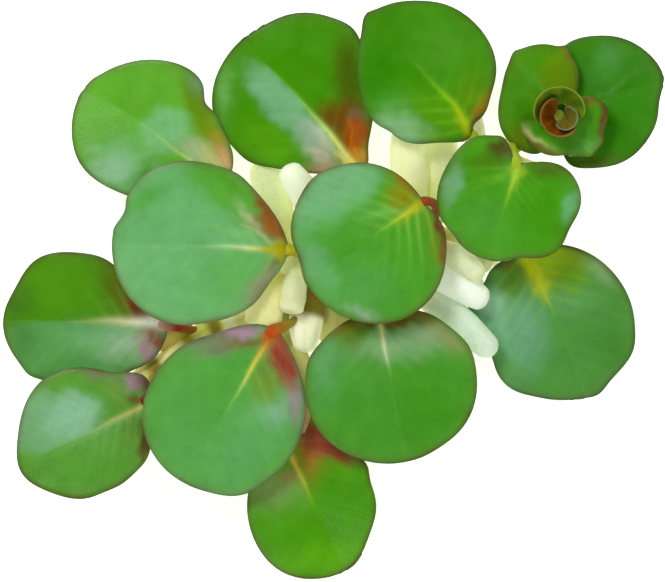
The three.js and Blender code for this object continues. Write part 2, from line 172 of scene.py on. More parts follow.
@dataclass(frozen=True)
class Line:
    """A smooth line through a few points."""

    points: tuple[Point, ...]

    def places(self) -> tuple[Array, Array]:
        """Close places along the line, with the share of its length at each.

        Returns:
            The shares and the places.
        """
        p = np.array(self.points, float)
        p = np.vstack([2 * p[0] - p[1], p, 2 * p[-1] - p[-2]])
        steps = np.linspace(0, 1, LINE_STEPS)[:, None]
        pieces = []
        for a, b, c, d in zip(p[:-3], p[1:-2], p[2:-1], p[3:]):
            before, along, after = (np.sqrt(np.linalg.norm(v)) for v in (b - a, c - b, d - c))
            out = ((b - a) / before - (c - a) / (before + along) + (c - b) / along) * along
            into = ((c - b) / along - (d - b) / (along + after) + (d - c) / after) * along
            bend = -3 * b + 3 * c - 2 * out - into
            turn = 2 * b - 2 * c + out + into
            pieces.append(b + out * steps + bend * steps ** 2 + turn * steps ** 3)
        places = np.vstack([pieces[0]] + [piece[1:] for piece in pieces[1:]])
        lengths = np.r_[0, np.cumsum(np.linalg.norm(np.diff(places, axis=0), axis=1))]
        return lengths / lengths[-1], places

    def at(self, shares: Array) -> tuple[Array, Array]:
        """Places and directions on the line.

        Args:
            shares: Shares of the line's length.

        Returns:
            The place and the direction at each.
        """
        known, places = self.places()

        def place(share: Array) -> Array:
            """The places at shares of the length."""
            return np.column_stack([np.interp(share, known, places[:, k]) for k in range(3)])

        before = np.clip(shares - DIRECTION_STEP, 0, 1)
        after = np.clip(shares + DIRECTION_STEP, 0, 1)
        ahead = place(after) - place(before)
        return place(shares), ahead / np.linalg.norm(ahead, axis=1)[:, None]

    def share_nearest(self, point: Point) -> float:
        """The share of its length at which the line passes a point."""
        known, places = self.places()
        return float(known[np.argmin(np.linalg.norm(places - np.array(point), axis=1))])


# Modelling

SHEET_SLOTS = 3  # a thickened sheet's face, back and rim
THICKNESS_DIGITS = 2  # to which the shares of a sheet's thickness are rounded


class Workbench:
    """Makes meshes from primitives and finishes them with modifiers."""

    @staticmethod
    def clear() -> None:
        """Deselects everything."""
        bpy.ops.object.select_all(action="DESELECT")

    @classmethod
    def pick(cls, *pieces: bpy.types.Object) -> None:
        """Selects only some pieces.

        Args:
            pieces: The pieces, of which the first becomes the active one.
        """
        cls.clear()
        for piece in pieces:
            piece.select_set(True)
        bpy.context.view_layer.objects.active = pieces[0]

    @classmethod
    def sheet(cls, name: str, mesh: Mesh) -> bpy.types.Object:
        """A flat grid from -1 to 1 each way, to be given a leaf's form.

        Args:
            name: The piece's name.
            mesh: How many faces lie along X and along Y.

        Returns:
            The piece.
        """
        cls.clear()
        bpy.ops.mesh.primitive_grid_add(x_subdivisions=mesh[0], y_subdivisions=mesh[1], size=2)
        piece = bpy.context.object
        piece.name = piece.data.name = name
        return piece

    @classmethod
    def ball(cls, name: str, mesh: Mesh) -> bpy.types.Object:
        """A ball of radius 1, whose two poles become the ends of a bar.

        Args:
            name: The piece's name.
            mesh: How many faces lie round it and from pole to pole.

        Returns:
            The piece.
        """
        cls.clear()
        bpy.ops.mesh.primitive_uv_sphere_add(segments=mesh[0], ring_count=mesh[1], radius=1)
        piece = bpy.context.object
        piece.name = piece.data.name = name
        return piece

    @staticmethod
    def places(piece: bpy.types.Object) -> Array:
        """The places of a piece's vertices.

        Args:
            piece: The piece.

        Returns:
            The places, one row each.
        """
        flat = np.empty(len(piece.data.vertices) * 3)
        piece.data.vertices.foreach_get("co", flat)
        return flat.reshape(-1, 3)

    @staticmethod
    def mould(piece: bpy.types.Object, places: Array, tones: Array) -> None:
        """Moves a piece's vertices, given in millimetres, and paints them.

        Args:
            piece: The piece.
            places: A new place for each vertex.
            tones: A linear tone for each vertex.
        """
        piece.data.vertices.foreach_set("co", (places * MM).ravel())
        layer = piece.data.attributes.new("tone", "FLOAT_COLOR", "POINT")
        layer.data.foreach_set("color", np.column_stack([tones, np.ones(len(tones))]).ravel())
        piece.data.update()

    @classmethod
    def thicken(cls, piece: bpy.types.Object, thickness: float, shares: Array) -> None:
        """Gives a sheet its thickness, half to each side, with its back and its rim in slots of their own.

        Args:
            piece: The sheet.
            thickness: In millimetres, where the share is 1.
            shares: The share of the thickness at each vertex.
        """
        group = piece.vertex_groups.new(name="thickness")
        rounded = np.round(shares, THICKNESS_DIGITS)
        for step in np.unique(rounded):
            members = np.flatnonzero(rounded == step).tolist()
            group.add(members, float(step), "REPLACE")
        solid = piece.modifiers.new("thickness", "SOLIDIFY")
        solid.thickness = thickness * MM
        solid.offset = 0
        solid.vertex_group = group.name
        solid.use_quality_normals = True
        solid.material_offset = 1
        solid.material_offset_rim = 2
        cls.pick(piece)
        bpy.ops.object.modifier_apply(modifier=solid.name)
        piece.vertex_groups.clear()

    @classmethod
    def bar(cls, name: str, line: Line, radius: RadiusAt, mesh: Mesh,
            tufting: Tufting = Tufting.EVEN) -> tuple[bpy.types.Object, Array, Array, Array]:
        """A round bar along a line, closed at both ends.

        Args:
            name: The piece's name.
            line: The bar's middle.
            radius: Gives the radius from the share of the length and the angle round the bar.
            mesh: How many faces lie round it and along it.
            tufting: How its rings are spaced.

        Returns:
            The piece, the new places, and each vertex's share of the length and angle round the bar.
        """
        piece = cls.ball(name, mesh)
        unit = cls.places(piece)
        rings = mesh[1]
        ring = np.rint(np.arccos(np.clip(unit[:, 2], -1, 1)) / np.pi * rings).astype(int)
        angle = np.arctan2(unit[:, 1], unit[:, 0])
        steps = np.clip((np.arange(rings + 1) - 1) / (rings - 2), 0, 1)
        shares = eased(steps) if tufting is Tufting.EASED else steps
        centres, aheads = line.at(shares)
        asides = np.empty_like(aheads)
        aside = np.cross([0, 0, 1], aheads[0])
        for k, ahead in enumerate(aheads):
            aside = aside - aside.dot(ahead) * ahead
            aside /= np.linalg.norm(aside)
            asides[k] = aside
        belows = np.cross(asides, aheads)
        reach = radius(shares[ring], angle)
        reach[(ring == 0) | (ring == rings)] = 0
        places = (centres[ring] + asides[ring] * (reach * np.cos(angle))[:, None]
                  + belows[ring] * (reach * np.sin(angle))[:, None])
        return piece, places, shares[ring], angle

    @classmethod
    def joined(cls, *pieces: bpy.types.Object) -> bpy.types.Object:
        """Makes several pieces one.

        Args:
            pieces: The pieces, of which the first keeps its name.

        Returns:
            The one piece.
        """
        cls.pick(*pieces)
        bpy.ops.object.join()
        return pieces[0]

    @classmethod
    def hand_over(cls, piece: bpy.types.Object, node: str, slot: str) -> None:
        """Shades a piece smooth and puts it in the place of a solid.

        Args:
            piece: The finished piece.
            node: The solid that it stands for.
            slot: The name of its material slot; not used.
        """
        cls.pick(piece)
        bpy.ops.object.shade_smooth()
        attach(piece, "root")
        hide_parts(node)
        LOG.info("%s: %d faces", piece.name, len(piece.data.polygons))


# Finishes

MOTTLE_DETAIL = 4
MOTTLE_RANGE: Pair = (0.3, 0.7)  # in which nearly all values of the mottle lie
MOTTLE_HEIGHT = 1.5  # of the mottle's relief over that of the cells
CELL_SHADE_REACH = 0.25  # how far the shade along a cell's wall reaches, as a share of the cell's size
CELL_SLOPE_REACH = 0.3


@dataclass(frozen=True)
class Tissue:
    """Living tissue: the painted tones, mottled and finely celled, under a thin waxy gloss.

    Scales are features per metre, and shares are how strongly each shows. The last field sets a glow in the
    tissue's own tone: painted light that lifts stalks and floats out of the shade, standing for light that
    comes through the tissue from below.
    """

    name: str
    roughness: Pair
    veil: str = "#ffffff"
    veil_share: float = 0.0
    mottle_scale: float = 260
    mottle_share: float = 0.1
    cell_scale: float = 1500
    cell_share: float = 0.06
    bump: float = 0.25
    bump_depth: float = 0.06
    specular: float = 0.4
    under_glow: float = 0.0
    glow_reach: Point = (0.6, 0.9, 0.3)
    glow_depth: float = 0.8
    painted_glow: float = 0.0

    def material(self) -> bpy.types.Material:
        """Builds the finish's nodes.

        Returns:
            The material.
        """
        material = bpy.data.materials.new(self.name)
        material.use_nodes = True
        nodes, links = material.node_tree.nodes, material.node_tree.links
        shader = nodes["Principled BSDF"]
        place = nodes.new("ShaderNodeTexCoord").outputs["Object"]
        tone = nodes.new("ShaderNodeAttribute")
        tone.attribute_name = "tone"

        mottle = nodes.new("ShaderNodeTexNoise")
        mottle.inputs["Scale"].default_value = self.mottle_scale
        mottle.inputs["Detail"].default_value = MOTTLE_DETAIL
        cells = nodes.new("ShaderNodeTexVoronoi")
        cells.feature = "DISTANCE_TO_EDGE"
        cells.inputs["Scale"].default_value = self.cell_scale
        for texture in (mottle, cells):
            links.new(place, texture.inputs["Vector"])
        noise, wall = mottle.outputs["Fac"], cells.outputs["Distance"]

        def mapped(source: bpy.types.NodeSocket, start: Pair, end: Pair) -> bpy.types.NodeSocket:
            """Moves a value from one range to another.

            Args:
                source: The value.
                start: Its range.
                end: The new range.

            Returns:
                The moved value.
            """
            node = nodes.new("ShaderNodeMapRange")
            links.new(source, node.inputs["Value"])
            for socket, value in zip(("From Min", "From Max", "To Min", "To Max"), start + end):
                node.inputs[socket].default_value = value
            return node.outputs["Result"]

        veiled = nodes.new("ShaderNodeMix")
        veiled.data_type = "RGBA"
        sockets = {s.identifier: s for s in veiled.inputs}
        sockets["Factor_Float"].default_value = self.veil_share
        sockets["B_Color"].default_value = (*linear(self.veil), 1)
        links.new(tone.outputs["Color"], sockets["A_Color"])
        mixed = next(s for s in veiled.outputs if s.identifier == "Result_Color")

        light = nodes.new("ShaderNodeMath")
        light.operation = "MULTIPLY"
        mottled = (1 - self.mottle_share, 1 + self.mottle_share)
        links.new(mapped(noise, MOTTLE_RANGE, mottled), light.inputs[0])
        links.new(mapped(wall, (0, CELL_SHADE_REACH), (1 - self.cell_share, 1)), light.inputs[1])
        shade = nodes.new("ShaderNodeHueSaturation")
        links.new(light.outputs["Value"], shade.inputs["Value"])
        links.new(mixed, shade.inputs["Color"])
        links.new(shade.outputs["Color"], shader.inputs["Base Color"])
        links.new(shade.outputs["Color"], shader.inputs["Emission Color"])

        height = nodes.new("ShaderNodeMath")
        height.operation = "MULTIPLY_ADD"
        links.new(noise, height.inputs[0])
        height.inputs[1].default_value = MOTTLE_HEIGHT
        links.new(mapped(wall, (0, CELL_SLOPE_REACH), (0, 1)), height.inputs[2])
        bump = nodes.new("ShaderNodeBump")
        bump.inputs["Strength"].default_value = self.bump
        bump.inputs["Distance"].default_value = self.bump_depth * MM
        links.new(height.outputs["Value"], bump.inputs["Height"])
        links.new(bump.outputs["Normal"], shader.inputs["Normal"])
        links.new(mapped(noise, MOTTLE_RANGE, self.roughness), shader.inputs["Roughness"])

        shader.inputs["Specular IOR Level"].default_value = self.specular
        # A glow in the tissue's own tone: painted light, not a lamp
        shader.inputs["Emission Strength"].default_value = self.painted_glow
        shader.inputs["Subsurface Weight"].default_value = self.under_glow
        shader.inputs["Subsurface Radius"].default_value = self.glow_reach
        shader.inputs["Subsurface Scale"].default_value = self.glow_depth * MM
        return material


class Finishes:
    """The plant's materials."""

    def __init__(self) -> None:
        """Builds them all."""
        self.face = Tissue("leaf_face", (0.26, 0.36), mottle_share=0.07, specular=0.13).material()
        self.back = Tissue("leaf_back", (0.5, 0.65), veil="#b8c48c", veil_share=0.5, specular=0.3).material()
        # Stalks and floats glow faintly in their own tone: painted light that lifts them out of the leaves'
        # shade
        self.stalk = Tissue(
            "stalk", (0.35, 0.5), mottle_scale=400, cell_share=0.03, specular=0.18, painted_glow=0.12,
        ).material()
        self.sponge = Tissue(
            "sponge", (0.45, 0.6), mottle_scale=500, mottle_share=0.04, cell_scale=1100, cell_share=0.05,
            bump=0.35, under_glow=0.6, glow_reach=(1.0, 0.95, 0.6), glow_depth=2.5, painted_glow=0.13,
        ).material()


# Leaves

# The blade's form
BLADE_END_HALF_WIDTH = 0.35
BLADE_THICKNESS = 0.62
RIM_SHARE = 0.3  # the blade's thickness at its very edge, over its thickness at the midrib
RIM_WIDTH = 0.8
COLUMN_EVENNESS = 0.35  # how evenly its mesh is spread from the midrib to the margin
GROOVE_DEPTH = 0.1  # of the midrib's groove
GROOVE_WIDTH = 0.9
GROOVE_END = 0.6  # where along the blade the midrib's groove begins to fade
GROOVE_CLEARANCE = 2.5  # how near the margin all grooves begin to fade
SWELL_HEIGHT = 0.16  # of the blade's slow swells
SWELL_LENGTH = 15.0
SWELL_PHASE = 1.7  # from one leaf to the next, across the blade
SWELL_EVENNESS = 0.4  # how much of the swells is left away from the margin

# The side veins: where each leaves the midrib, as a share of the blade, and how steeply it runs ahead
SIDE_VEINS: tuple[Pair, ...] = (
    (0.01, 0.28), (0.07, 0.45), (0.14, 0.54), (0.22, 0.62),
    (0.31, 0.70), (0.41, 0.78), (0.52, 0.86), (0.64, 0.95), (0.76, 1.05),
)
VEIN_STAGGER = 0.022  # how much further ahead those on the right begin
VEIN_BEND = 0.012  # how a side vein curves towards the tip, per mm
VEIN_WINDING = 0.13
VEIN_WINDING_RATE = 0.6  # in radians a millimetre
VEIN_WINDING_PHASE = 2.1  # from one vein to the next, in radians
VEIN_EVENNESS = 0.7
VEIN_STRENGTH_PHASE = 5.3  # from one vein to the next
VEIN_HALVES_PHASE = 2.0  # from the left half to the right
VEIN_DEPTH = 0.04  # of the groove along a side vein
VEIN_GROOVE_WIDTH = 0.9
VEIN_WIDTH = 0.42
VEIN_FADE_AHEAD: Pair = (0.15, 0.6)  # where along the blade the veins' tone fades
VEIN_FADE_OUT: Pair = (0.1, 0.8)  # where between the midrib and the margin it does
VEIN_FADE_SHARE = 0.85  # how much of it fades on the way to the margin

# The midrib's tone
MIDRIB_FADE = 0.15  # where along its reach it begins to fade
MIDRIB_LEAST_SHARE = 0.05
MIDRIB_LEAST_WIDTH = 0.2
MIDRIB_CRISPNESS = 1.7
MIDRIB_WINDING = 0.12
MIDRIB_WINDING_RATE = 0.5  # in radians a millimetre
MIDRIB_STRAIGHT: Pair = (2, 8)  # how far ahead of the base it begins to wind and winds in full
MIDRIB_STOPS: Pair = (0.02, 0.45)  # where along the blade its first and its last tone are reached

# The margin's tones
RIM_LINE_WIDTH = 0.6
RIM_LINE_CRISPNESS = 1.5
BLUSH_WIDTH = 1.3
MARGIN_EVENNESS = 0.75
MARGIN_WAVES = (3, 5)  # how often they strengthen and weaken round the blade

# Faint stripes along the side veins, which also streak the painted sheens among the tints, and streaks that
# fan out from the blade's base
STRIPES = 75.0  # how closely they lie
STRIPE_SLOPE = 0.75  # how steeply they run ahead
STRIPE_FOOT = 5.0  # how far from the midrib they are at full strength
STRIPE_SHARE = 0.05  # how much of them shows in a tint
STRIPE_DRIFT = 0.4  # how much of them shows in the drift of the tones
STREAKS = 34.0  # how closely they lie
STREAK_GROUPS = 13
STREAK_EVENNESS = 0.6
STREAK_FOOT = 2.0  # how far behind the base they meet
STREAK_WANDER = 2.0
STREAK_WANDER_RATE = 0.4  # in radians a millimetre
STREAK_REACH = 8.0
STREAK_SHARE = 0.05
TINT_STREAK_SHARE = 0.15  # how much of them shows in a tint

# Slow drifts of tone: how fast each runs ahead and to the left, in radians a millimetre
TONE_DRIFT = 0.03
DRIFT_WAVES: tuple[Pair, Pair] = ((0.31, 0.17), (-0.12, 0.23))

# How far a tint's border strays, and the waves by which it strays ahead and to the left
STRAY = 0.35
STRAY_AHEAD: tuple[Point, ...] = ((0.5, 0.9, 1.0), (-1.3, 2.1, 0.6))
STRAY_LEFT: tuple[Point, ...] = ((0.8, -0.6, 1.0), (1.9, 1.1, 0.6))
SIDE_EDGE: Pair = (-0.15, 0.25)  # where beside the midrib a tint of one half begins and is full

# The petiole
PETIOLE_RIBS = 5
PETIOLE_RIB_DEPTH = 0.02
PETIOLE_STOPS: Pair = (0.05, 0.75)  # where along it its first and its last tone are reached
FLARE_REACH = 0.09  # along the petiole, as a share of its length
COVER_HEIGHT = 0.45  # how far it may stand above the blade's middle surface at the blade's base
COVER_FALL = 0.75  # how much lower the keel has to stay under the blade
COVER_REACH: Pair = (-0.5, 2.5)  # where ahead of the base the one goes over into the other


@dataclass(frozen=True)
class Tint:
    """A soft-edged patch of another tone on a blade.

    at is its middle, ahead of the blade's base and to the left of the blade's axis. reach is how far it goes
    along and across, turn is the angle of the first from the axis, and edge is how crisp its border is. Some
    tints are the leaf's own colour; others are painted sheen, painted shade, or painted light that lifts a
    shaded part.
    """

    at: Pair
    reach: Pair
    turn: float
    tone: str
    strength: float = 1.0
    edge: float = 2.0
    side: Side = Side.BOTH

    def share(self, x: Array, y: Array, beside: Array) -> Array:
        """How much of the tint there is at places on the blade.

        Args:
            x: Places ahead of the blade's base.
            y: Places to the left of the blade's axis.
            beside: How far the places are to the left of the midrib.

        Returns:
            The share of the tint at each place.
        """
        c, s = math.cos(math.radians(self.turn)), math.sin(math.radians(self.turn))
        dx = x - self.at[0] + STRAY * ripples(x, y, STRAY_AHEAD)
        dy = y - self.at[1] + STRAY * ripples(x, y, STRAY_LEFT)
        u = (dx * c + dy * s) / self.reach[0]
        v = (dy * c - dx * s) / self.reach[1]
        share = self.strength * np.exp(-np.hypot(u, v) ** self.edge)
        if self.side is Side.BOTH:
            return share
        return share * smooth_step(*SIDE_EDGE, beside * self.side.value)


@dataclass(frozen=True)
class Wave:
    """A place where a blade's margin bulges or draws in.

    bearing is its direction from the blade's middle, 0 at the tip and 90 on the left, reach is how far it
    goes to either side in degrees, and amount is how far it bulges, in millimetres.
    """

    bearing: float
    reach: float
    amount: float


@dataclass(frozen=True)
class Look:
    """A leaf's colouring. midrib and petiole are tones in order from their near to their far end.

    rib is how far the midrib lies to the left of the blade's axis, evenly spaced from the base to the tip.
    flare is how much the petiole widens where it meets the blade, and girth is how much stouter it is than
    its solid. Tints are laid on in their order, and waves change the blade's outline.
    """

    ground: str
    midrib: tuple[str, ...]
    petiole: tuple[str, ...]
    rib: tuple[float, ...] = (0.0, 0.0)
    flare: float = 0.3
    girth: float = 1.0
    midrib_reach: float = 0.7
    midrib_width: float = 0.8
    vein: str = "#a6d46a"
    vein_share: float = 0.35
    rim: str = "#5c5c28"
    rim_share: float = 0.95
    blush: str = "#8a6a50"
    blush_share: float = 0.22
    tints: tuple[Tint, ...] = ()
    waves: tuple[Wave, ...] = ()


@dataclass(frozen=True)
class Leaf:
    """A leaf: a thin blade on a petiole that goes on under it as a keel.

    petiole is the petiole's line, which ends at the blade's base, and heading is the direction of the
    blade's axis. Where a pair belongs to the two halves, the left one comes first: halves are their widths,
    base and tip are the exponents that round off their ends, and lobes are how far they go back past the
    base. pitch is the slope of the axis at the base and at the tip, roll is the blade's sideways tilt, fold
    is how steeply both halves rise from the midrib, and cup is how far their margins bend up.
    """

    name: str
    petiole: tuple[Point, ...]
    heading: float
    length: float
    halves: Pair
    base: Pair
    tip: Pair
    pitch: Pair
    roll: float
    fold: float
    cup: float
    look: Look
    lobes: Pair = (0, 0)
    slot: str = "leaf"
    mesh: Mesh = LEAF_MESH

    def on_blade(self, along: Array, across: Array) -> tuple[Array, Array, Array]:
        """Places on the blade's middle surface.

        Args:
            along: From 0 at the base to 1 at the tip.
            across: From -1 at the right margin to 1 at the left.

        Returns:
            Distances ahead of the base, to the left of the blade's axis and up.
        """
        left = across > 0

        def half_of(pair: Pair) -> Array:
            """The value for the half that each place lies on."""
            return np.where(left, pair[0], pair[1])

        base, tip, width = half_of(self.base), half_of(self.tip), half_of(self.halves)
        widest = base / (base + tip)
        shape = (along / widest) ** base * ((1 - along) / (1 - widest)) ** tip
        half = np.hypot(BLADE_END_HALF_WIDTH, width * shape)
        back = half_of(self.lobes) * shape * (1 - along) ** LOBE_FALL * np.abs(across) ** LOBE_SPREAD
        x = self.length * along - back
        y = across * half
        ahead = x - self.length / 2
        bearing = np.degrees(np.arctan2(y, ahead))
        outward = np.maximum(np.abs(across), np.abs(2 * along - 1)) ** 2
        for wave in self.look.waves:
            apart = (bearing - wave.bearing + 180) % 360 - 180
            push = wave.amount * np.exp(-((apart / wave.reach) ** 2)) * outward
            x = x + push * np.cos(np.radians(bearing))
            y = y + push * np.sin(np.radians(bearing))
        return x, y, self.height(x, y)

    def height(self, x: Array, y: Array) -> Array:
        """How far the blade's middle surface is above its base.

        Args:
            x: Places ahead of the blade's base.
            y: Places to the left of the blade's axis.

        Returns:
            The height at each place.
        """
        width = np.where(y > 0, *self.halves)
        rise, end = (math.tan(math.radians(angle)) for angle in self.pitch)
        crease = np.hypot(y, CREASE_RADIUS) - CREASE_RADIUS
        return (x * rise + x * x * (end - rise) / (2 * self.length) + y * math.tan(math.radians(self.roll))
                + crease * math.tan(math.radians(self.fold)) + self.cup * (y / width) ** 2)

    def beside_rib(self, x: Array, y: Array) -> Array:
        """How far places are to the left of the midrib."""
        rib = self.look.rib
        return y - np.interp(x / self.length, np.linspace(0, 1, len(rib)), rib)

    def side_veins(self, x: Array, y: Array, width: float) -> Array:
        """How near each place is to a side vein.

        Args:
            x: Places ahead of the blade's base.
            y: Places to the left of the blade's axis.
            width: The width of the strip beside a vein that counts.

        Returns:
            1 on a vein, falling to 0 away from it.
        """
        beside = self.beside_rib(x, y)
        left = beside > 0
        out = np.abs(beside)
        nearness = np.zeros_like(x)
        for count, (start, slope) in enumerate(SIDE_VEINS):
            start = start + np.where(left, 0.0, VEIN_STAGGER)
            winding = np.sin(VEIN_WINDING_RATE * out + VEIN_WINDING_PHASE * count + self.heading)
            path = start * self.length + slope * out + VEIN_BEND * out ** 2 + VEIN_WINDING * winding
            distance = np.abs(x - path) / np.hypot(1, slope + 2 * VEIN_BEND * out)
            phase = VEIN_STRENGTH_PHASE * count + self.heading + np.where(left, 0, VEIN_HALVES_PHASE)
            strength = up_from(VEIN_EVENNESS, np.sin(phase))
            nearness = np.maximum(nearness, strength * np.exp(-((distance / width) ** 2)))
        return nearness

    def to_margin(self, x: Array, y: Array) -> Array:
        """The distance from each place to the nearest of the blade's margins.

        Args:
            x: Places ahead of the blade's base.
            y: Places to the left of the blade's axis.

        Returns:
            The distances.
        """
        share = np.r_[eased(np.linspace(0, 1, MARGIN_STEPS)), eased(np.linspace(1, 0, MARGIN_STEPS))]
        side = np.r_[np.ones(MARGIN_STEPS), -np.ones(MARGIN_STEPS)]
        edge_x, edge_y, _ = self.on_blade(share, side)
        nearest = np.full(len(x), np.inf)
        for ex, ey in zip(edge_x, edge_y):
            nearest = np.minimum(nearest, np.hypot(x - ex, y - ey))
        return nearest

    def placed(self, x: Array, y: Array, z: Array) -> Array:
        """Turns and moves places on the blade to where the leaf stands."""
        c, s = math.cos(math.radians(self.heading)), math.sin(math.radians(self.heading))
        return np.column_stack([x * c - y * s, x * s + y * c, z]) + np.array(self.petiole[-1])

    def ahead_and_left(self, places: Array) -> tuple[Array, Array]:
        """How far places are ahead of the blade's base and to the left of its axis.

        Args:
            places: The places, one row each.

        Returns:
            The distances ahead and to the left.
        """
        c, s = math.cos(math.radians(self.heading)), math.sin(math.radians(self.heading))
        dx, dy = (places[:, k] - self.petiole[-1][k] for k in (0, 1))
        return dx * c + dy * s, dy * c - dx * s

    def stripes(self, x: Array, out: Array) -> Array:
        """Faint stripes that run as the side veins do, from -1 to 1; they streak the tints, painted sheens
        among them.
        """
        wave = np.sin(STRIPES * (x - STRIPE_SLOPE * out) / self.length + self.heading)
        return wave * smooth_step(0, STRIPE_FOOT, out)

    def streaks(self, x: Array, out: Array) -> Array:
        """Streaks that fan out from the blade's base, from -1 to 1.

        Args:
            x: Places ahead of the blade's base.
            out: Their distances from the midrib.

        Returns:
            The streaks at each place.
        """
        turn = np.arctan2(out, x + STREAK_FOOT)
        streaks = np.sin(STREAKS * turn + STREAK_WANDER * np.sin(STREAK_WANDER_RATE * x))
        groups = up_from(STREAK_EVENNESS, np.sin(STREAK_GROUPS * turn + self.heading))
        return streaks * groups * np.exp(-np.hypot(x, out) / STREAK_REACH)

    def drift(self, x: Array, y: Array) -> Array:
        """How the blade's tones drift slowly lighter and darker, from -1 to 1."""
        (a, b), (c, d) = DRIFT_WAVES
        return np.sin(a * x + b * y + self.heading) * np.cos(c * x + d * y + 2 * self.heading)

    def vein_tone(self, x: Array, y: Array) -> Array:
        """How much of the side veins' tone there is, which fades towards the tip and the margin.

        Args:
            x: Places ahead of the blade's base.
            y: Places to the left of the blade's axis.

        Returns:
            The share of the tone at each place.
        """
        ahead = smooth_step(*VEIN_FADE_AHEAD, np.clip(x / self.length, 0, 1))
        out = smooth_step(*VEIN_FADE_OUT, np.abs(self.beside_rib(x, y)) / max(self.halves))
        fade = (1 - ahead) * (1 - VEIN_FADE_SHARE * out)
        return self.look.vein_share * self.side_veins(x, y, VEIN_WIDTH) * fade

    def midrib_tone(self, x: Array, y: Array) -> Array:
        """How much of the midrib's tone there is, which narrows and fades towards the tip.

        Args:
            x: Places ahead of the blade's base.
            y: Places to the left of the blade's axis.

        Returns:
            The share of the tone at each place.
        """
        gone = np.clip(x / self.length, 0, 1) / self.look.midrib_reach
        near = 1 - smooth_step(MIDRIB_FADE, 1, gone)
        width = MIDRIB_LEAST_WIDTH + self.look.midrib_width / 2 * np.clip(1 - gone, 0, 1)
        winding = MIDRIB_WINDING * np.sin(MIDRIB_WINDING_RATE * x + self.heading)
        apart = np.abs(self.beside_rib(x, y) + winding * smooth_step(*MIDRIB_STRAIGHT, x))
        ridge = np.exp(-((apart / width) ** MIDRIB_CRISPNESS))
        return ridge * np.clip(near + MIDRIB_LEAST_SHARE, 0, 1)

    def tones(self, x: Array, y: Array, to_margin: Array) -> Array:
        """The blade's painted tones.

        Args:
            x: Places ahead of the blade's base.
            y: Places to the left of the blade's axis.
            to_margin: Distances to the nearest margin.

        Returns:
            A linear tone for each place.
        """
        look = self.look
        tones = np.tile(linear(look.ground), (len(x), 1))
        beside = self.beside_rib(x, y)
        stripes = self.stripes(x, np.abs(beside))
        streaks = self.streaks(x, np.abs(beside))
        marked = 1 + STRIPE_SHARE * stripes + TINT_STREAK_SHARE * streaks
        # The tints lay on patches of the leaf's own colour, and also painted sheen and painted shade
        for tint in look.tints:
            tones = blend(tones, linear(tint.tone), tint.share(x, y, beside) * marked)
        drift = TONE_DRIFT * (self.drift(x, y) + STRIPE_DRIFT * stripes)
        tones = tones * (1 + drift + STREAK_SHARE * streaks)[:, None]
        tones = blend(tones, linear(look.vein), self.vein_tone(x, y))
        bearing = np.arctan2(y, x - self.length / 2)
        slow, fast = (waves * bearing for waves in MARGIN_WAVES)
        wave = np.sin(slow + self.heading) * np.cos(fast - self.heading)
        strength = up_from(MARGIN_EVENNESS, wave)
        blush = look.blush_share * strength * np.exp(-to_margin / BLUSH_WIDTH)
        tones = blend(tones, linear(look.blush), blush)
        stops = np.linspace(*MIDRIB_STOPS, len(look.midrib))
        rib = graded(np.clip(x / self.length, 0, 1), stops, look.midrib)
        tones = blend(tones, rib, self.midrib_tone(x, y))
        line = look.rim_share * strength * np.exp(-((to_margin / RIM_LINE_WIDTH) ** RIM_LINE_CRISPNESS))
        return blend(tones, linear(look.rim), line)

    def blade(self, number: int, finishes: Finishes) -> bpy.types.Object:
        """Models the blade, with its grooves, swells and thickness.

        Args:
            number: The leaf's number, which sets its swells.
            finishes: The plant's materials.

        Returns:
            The blade.
        """
        piece = Workbench.sheet(f"{self.name}_skin", self.mesh)
        unit = Workbench.places(piece)
        along = eased((unit[:, 0] + 1) / 2)
        out = np.abs(unit[:, 1])
        spread = COLUMN_EVENNESS * out + (1 - COLUMN_EVENNESS) * smooth_step(0, 1, out)
        across = np.sign(unit[:, 1]) * spread
        x, y, z = self.on_blade(along, across)
        to_margin = self.to_margin(x, y)
        inland = smooth_step(0, GROOVE_CLEARANCE, to_margin)
        groove = np.exp(-((self.beside_rib(x, y) / GROOVE_WIDTH) ** 2))
        z = z - GROOVE_DEPTH * groove * (1 - smooth_step(GROOVE_END, 1, along)) * inland
        z = z - VEIN_DEPTH * self.side_veins(x, y, VEIN_GROOVE_WIDTH) * inland
        turn = 2 * np.pi / SWELL_LENGTH
        swell = np.sin(turn * x + number) * np.cos(turn * y + SWELL_PHASE * number)
        z = z + SWELL_HEIGHT * swell * up_from(SWELL_EVENNESS, 1 - inland)
        Workbench.mould(piece, self.placed(x, y, z), self.tones(x, y, to_margin))
        shares = up_from(RIM_SHARE, np.sqrt(np.clip(to_margin / RIM_WIDTH, 0, 1)))
        for finish in (finishes.face, finishes.back, finishes.face):
            piece.data.materials.append(finish)
        Workbench.thicken(piece, BLADE_THICKNESS, shares)
        return piece

    def stalk(self, finishes: Finishes) -> bpy.types.Object:
        """Models the petiole and its keel under the midrib.

        Args:
            finishes: The plant's materials.

        Returns:
            The petiole.
        """
        share = np.array([MIDRIB_REACH / 3, MIDRIB_REACH])
        x, y, z = self.on_blade(share, np.zeros(2))
        keel = self.placed(x, y, z - BLADE_THICKNESS / 2 - MIDRIB_RADIUS)
        line = Line(self.petiole + tuple(tuple(p) for p in keel))
        joint = line.share_nearest(self.petiole[-1])

        def radius(along: Array, angle: Array) -> Array:
            """The petiole's radius, with faint ribs and a flare where it meets the blade.

            Args:
                along: Shares of its length.
                angle: Angles round it.

            Returns:
                The radius at each place.
            """
            plain = PETIOLE_RADIUS + (MIDRIB_RADIUS - PETIOLE_RADIUS) * along ** PETIOLE_TAPER
            ribs = PETIOLE_RIB_DEPTH * np.cos(PETIOLE_RIBS * angle)
            flare = self.look.flare * np.exp(-(((along - joint) / FLARE_REACH) ** 2)) * np.cos(angle) ** 2
            return self.look.girth * plain * (1 + ribs + flare)

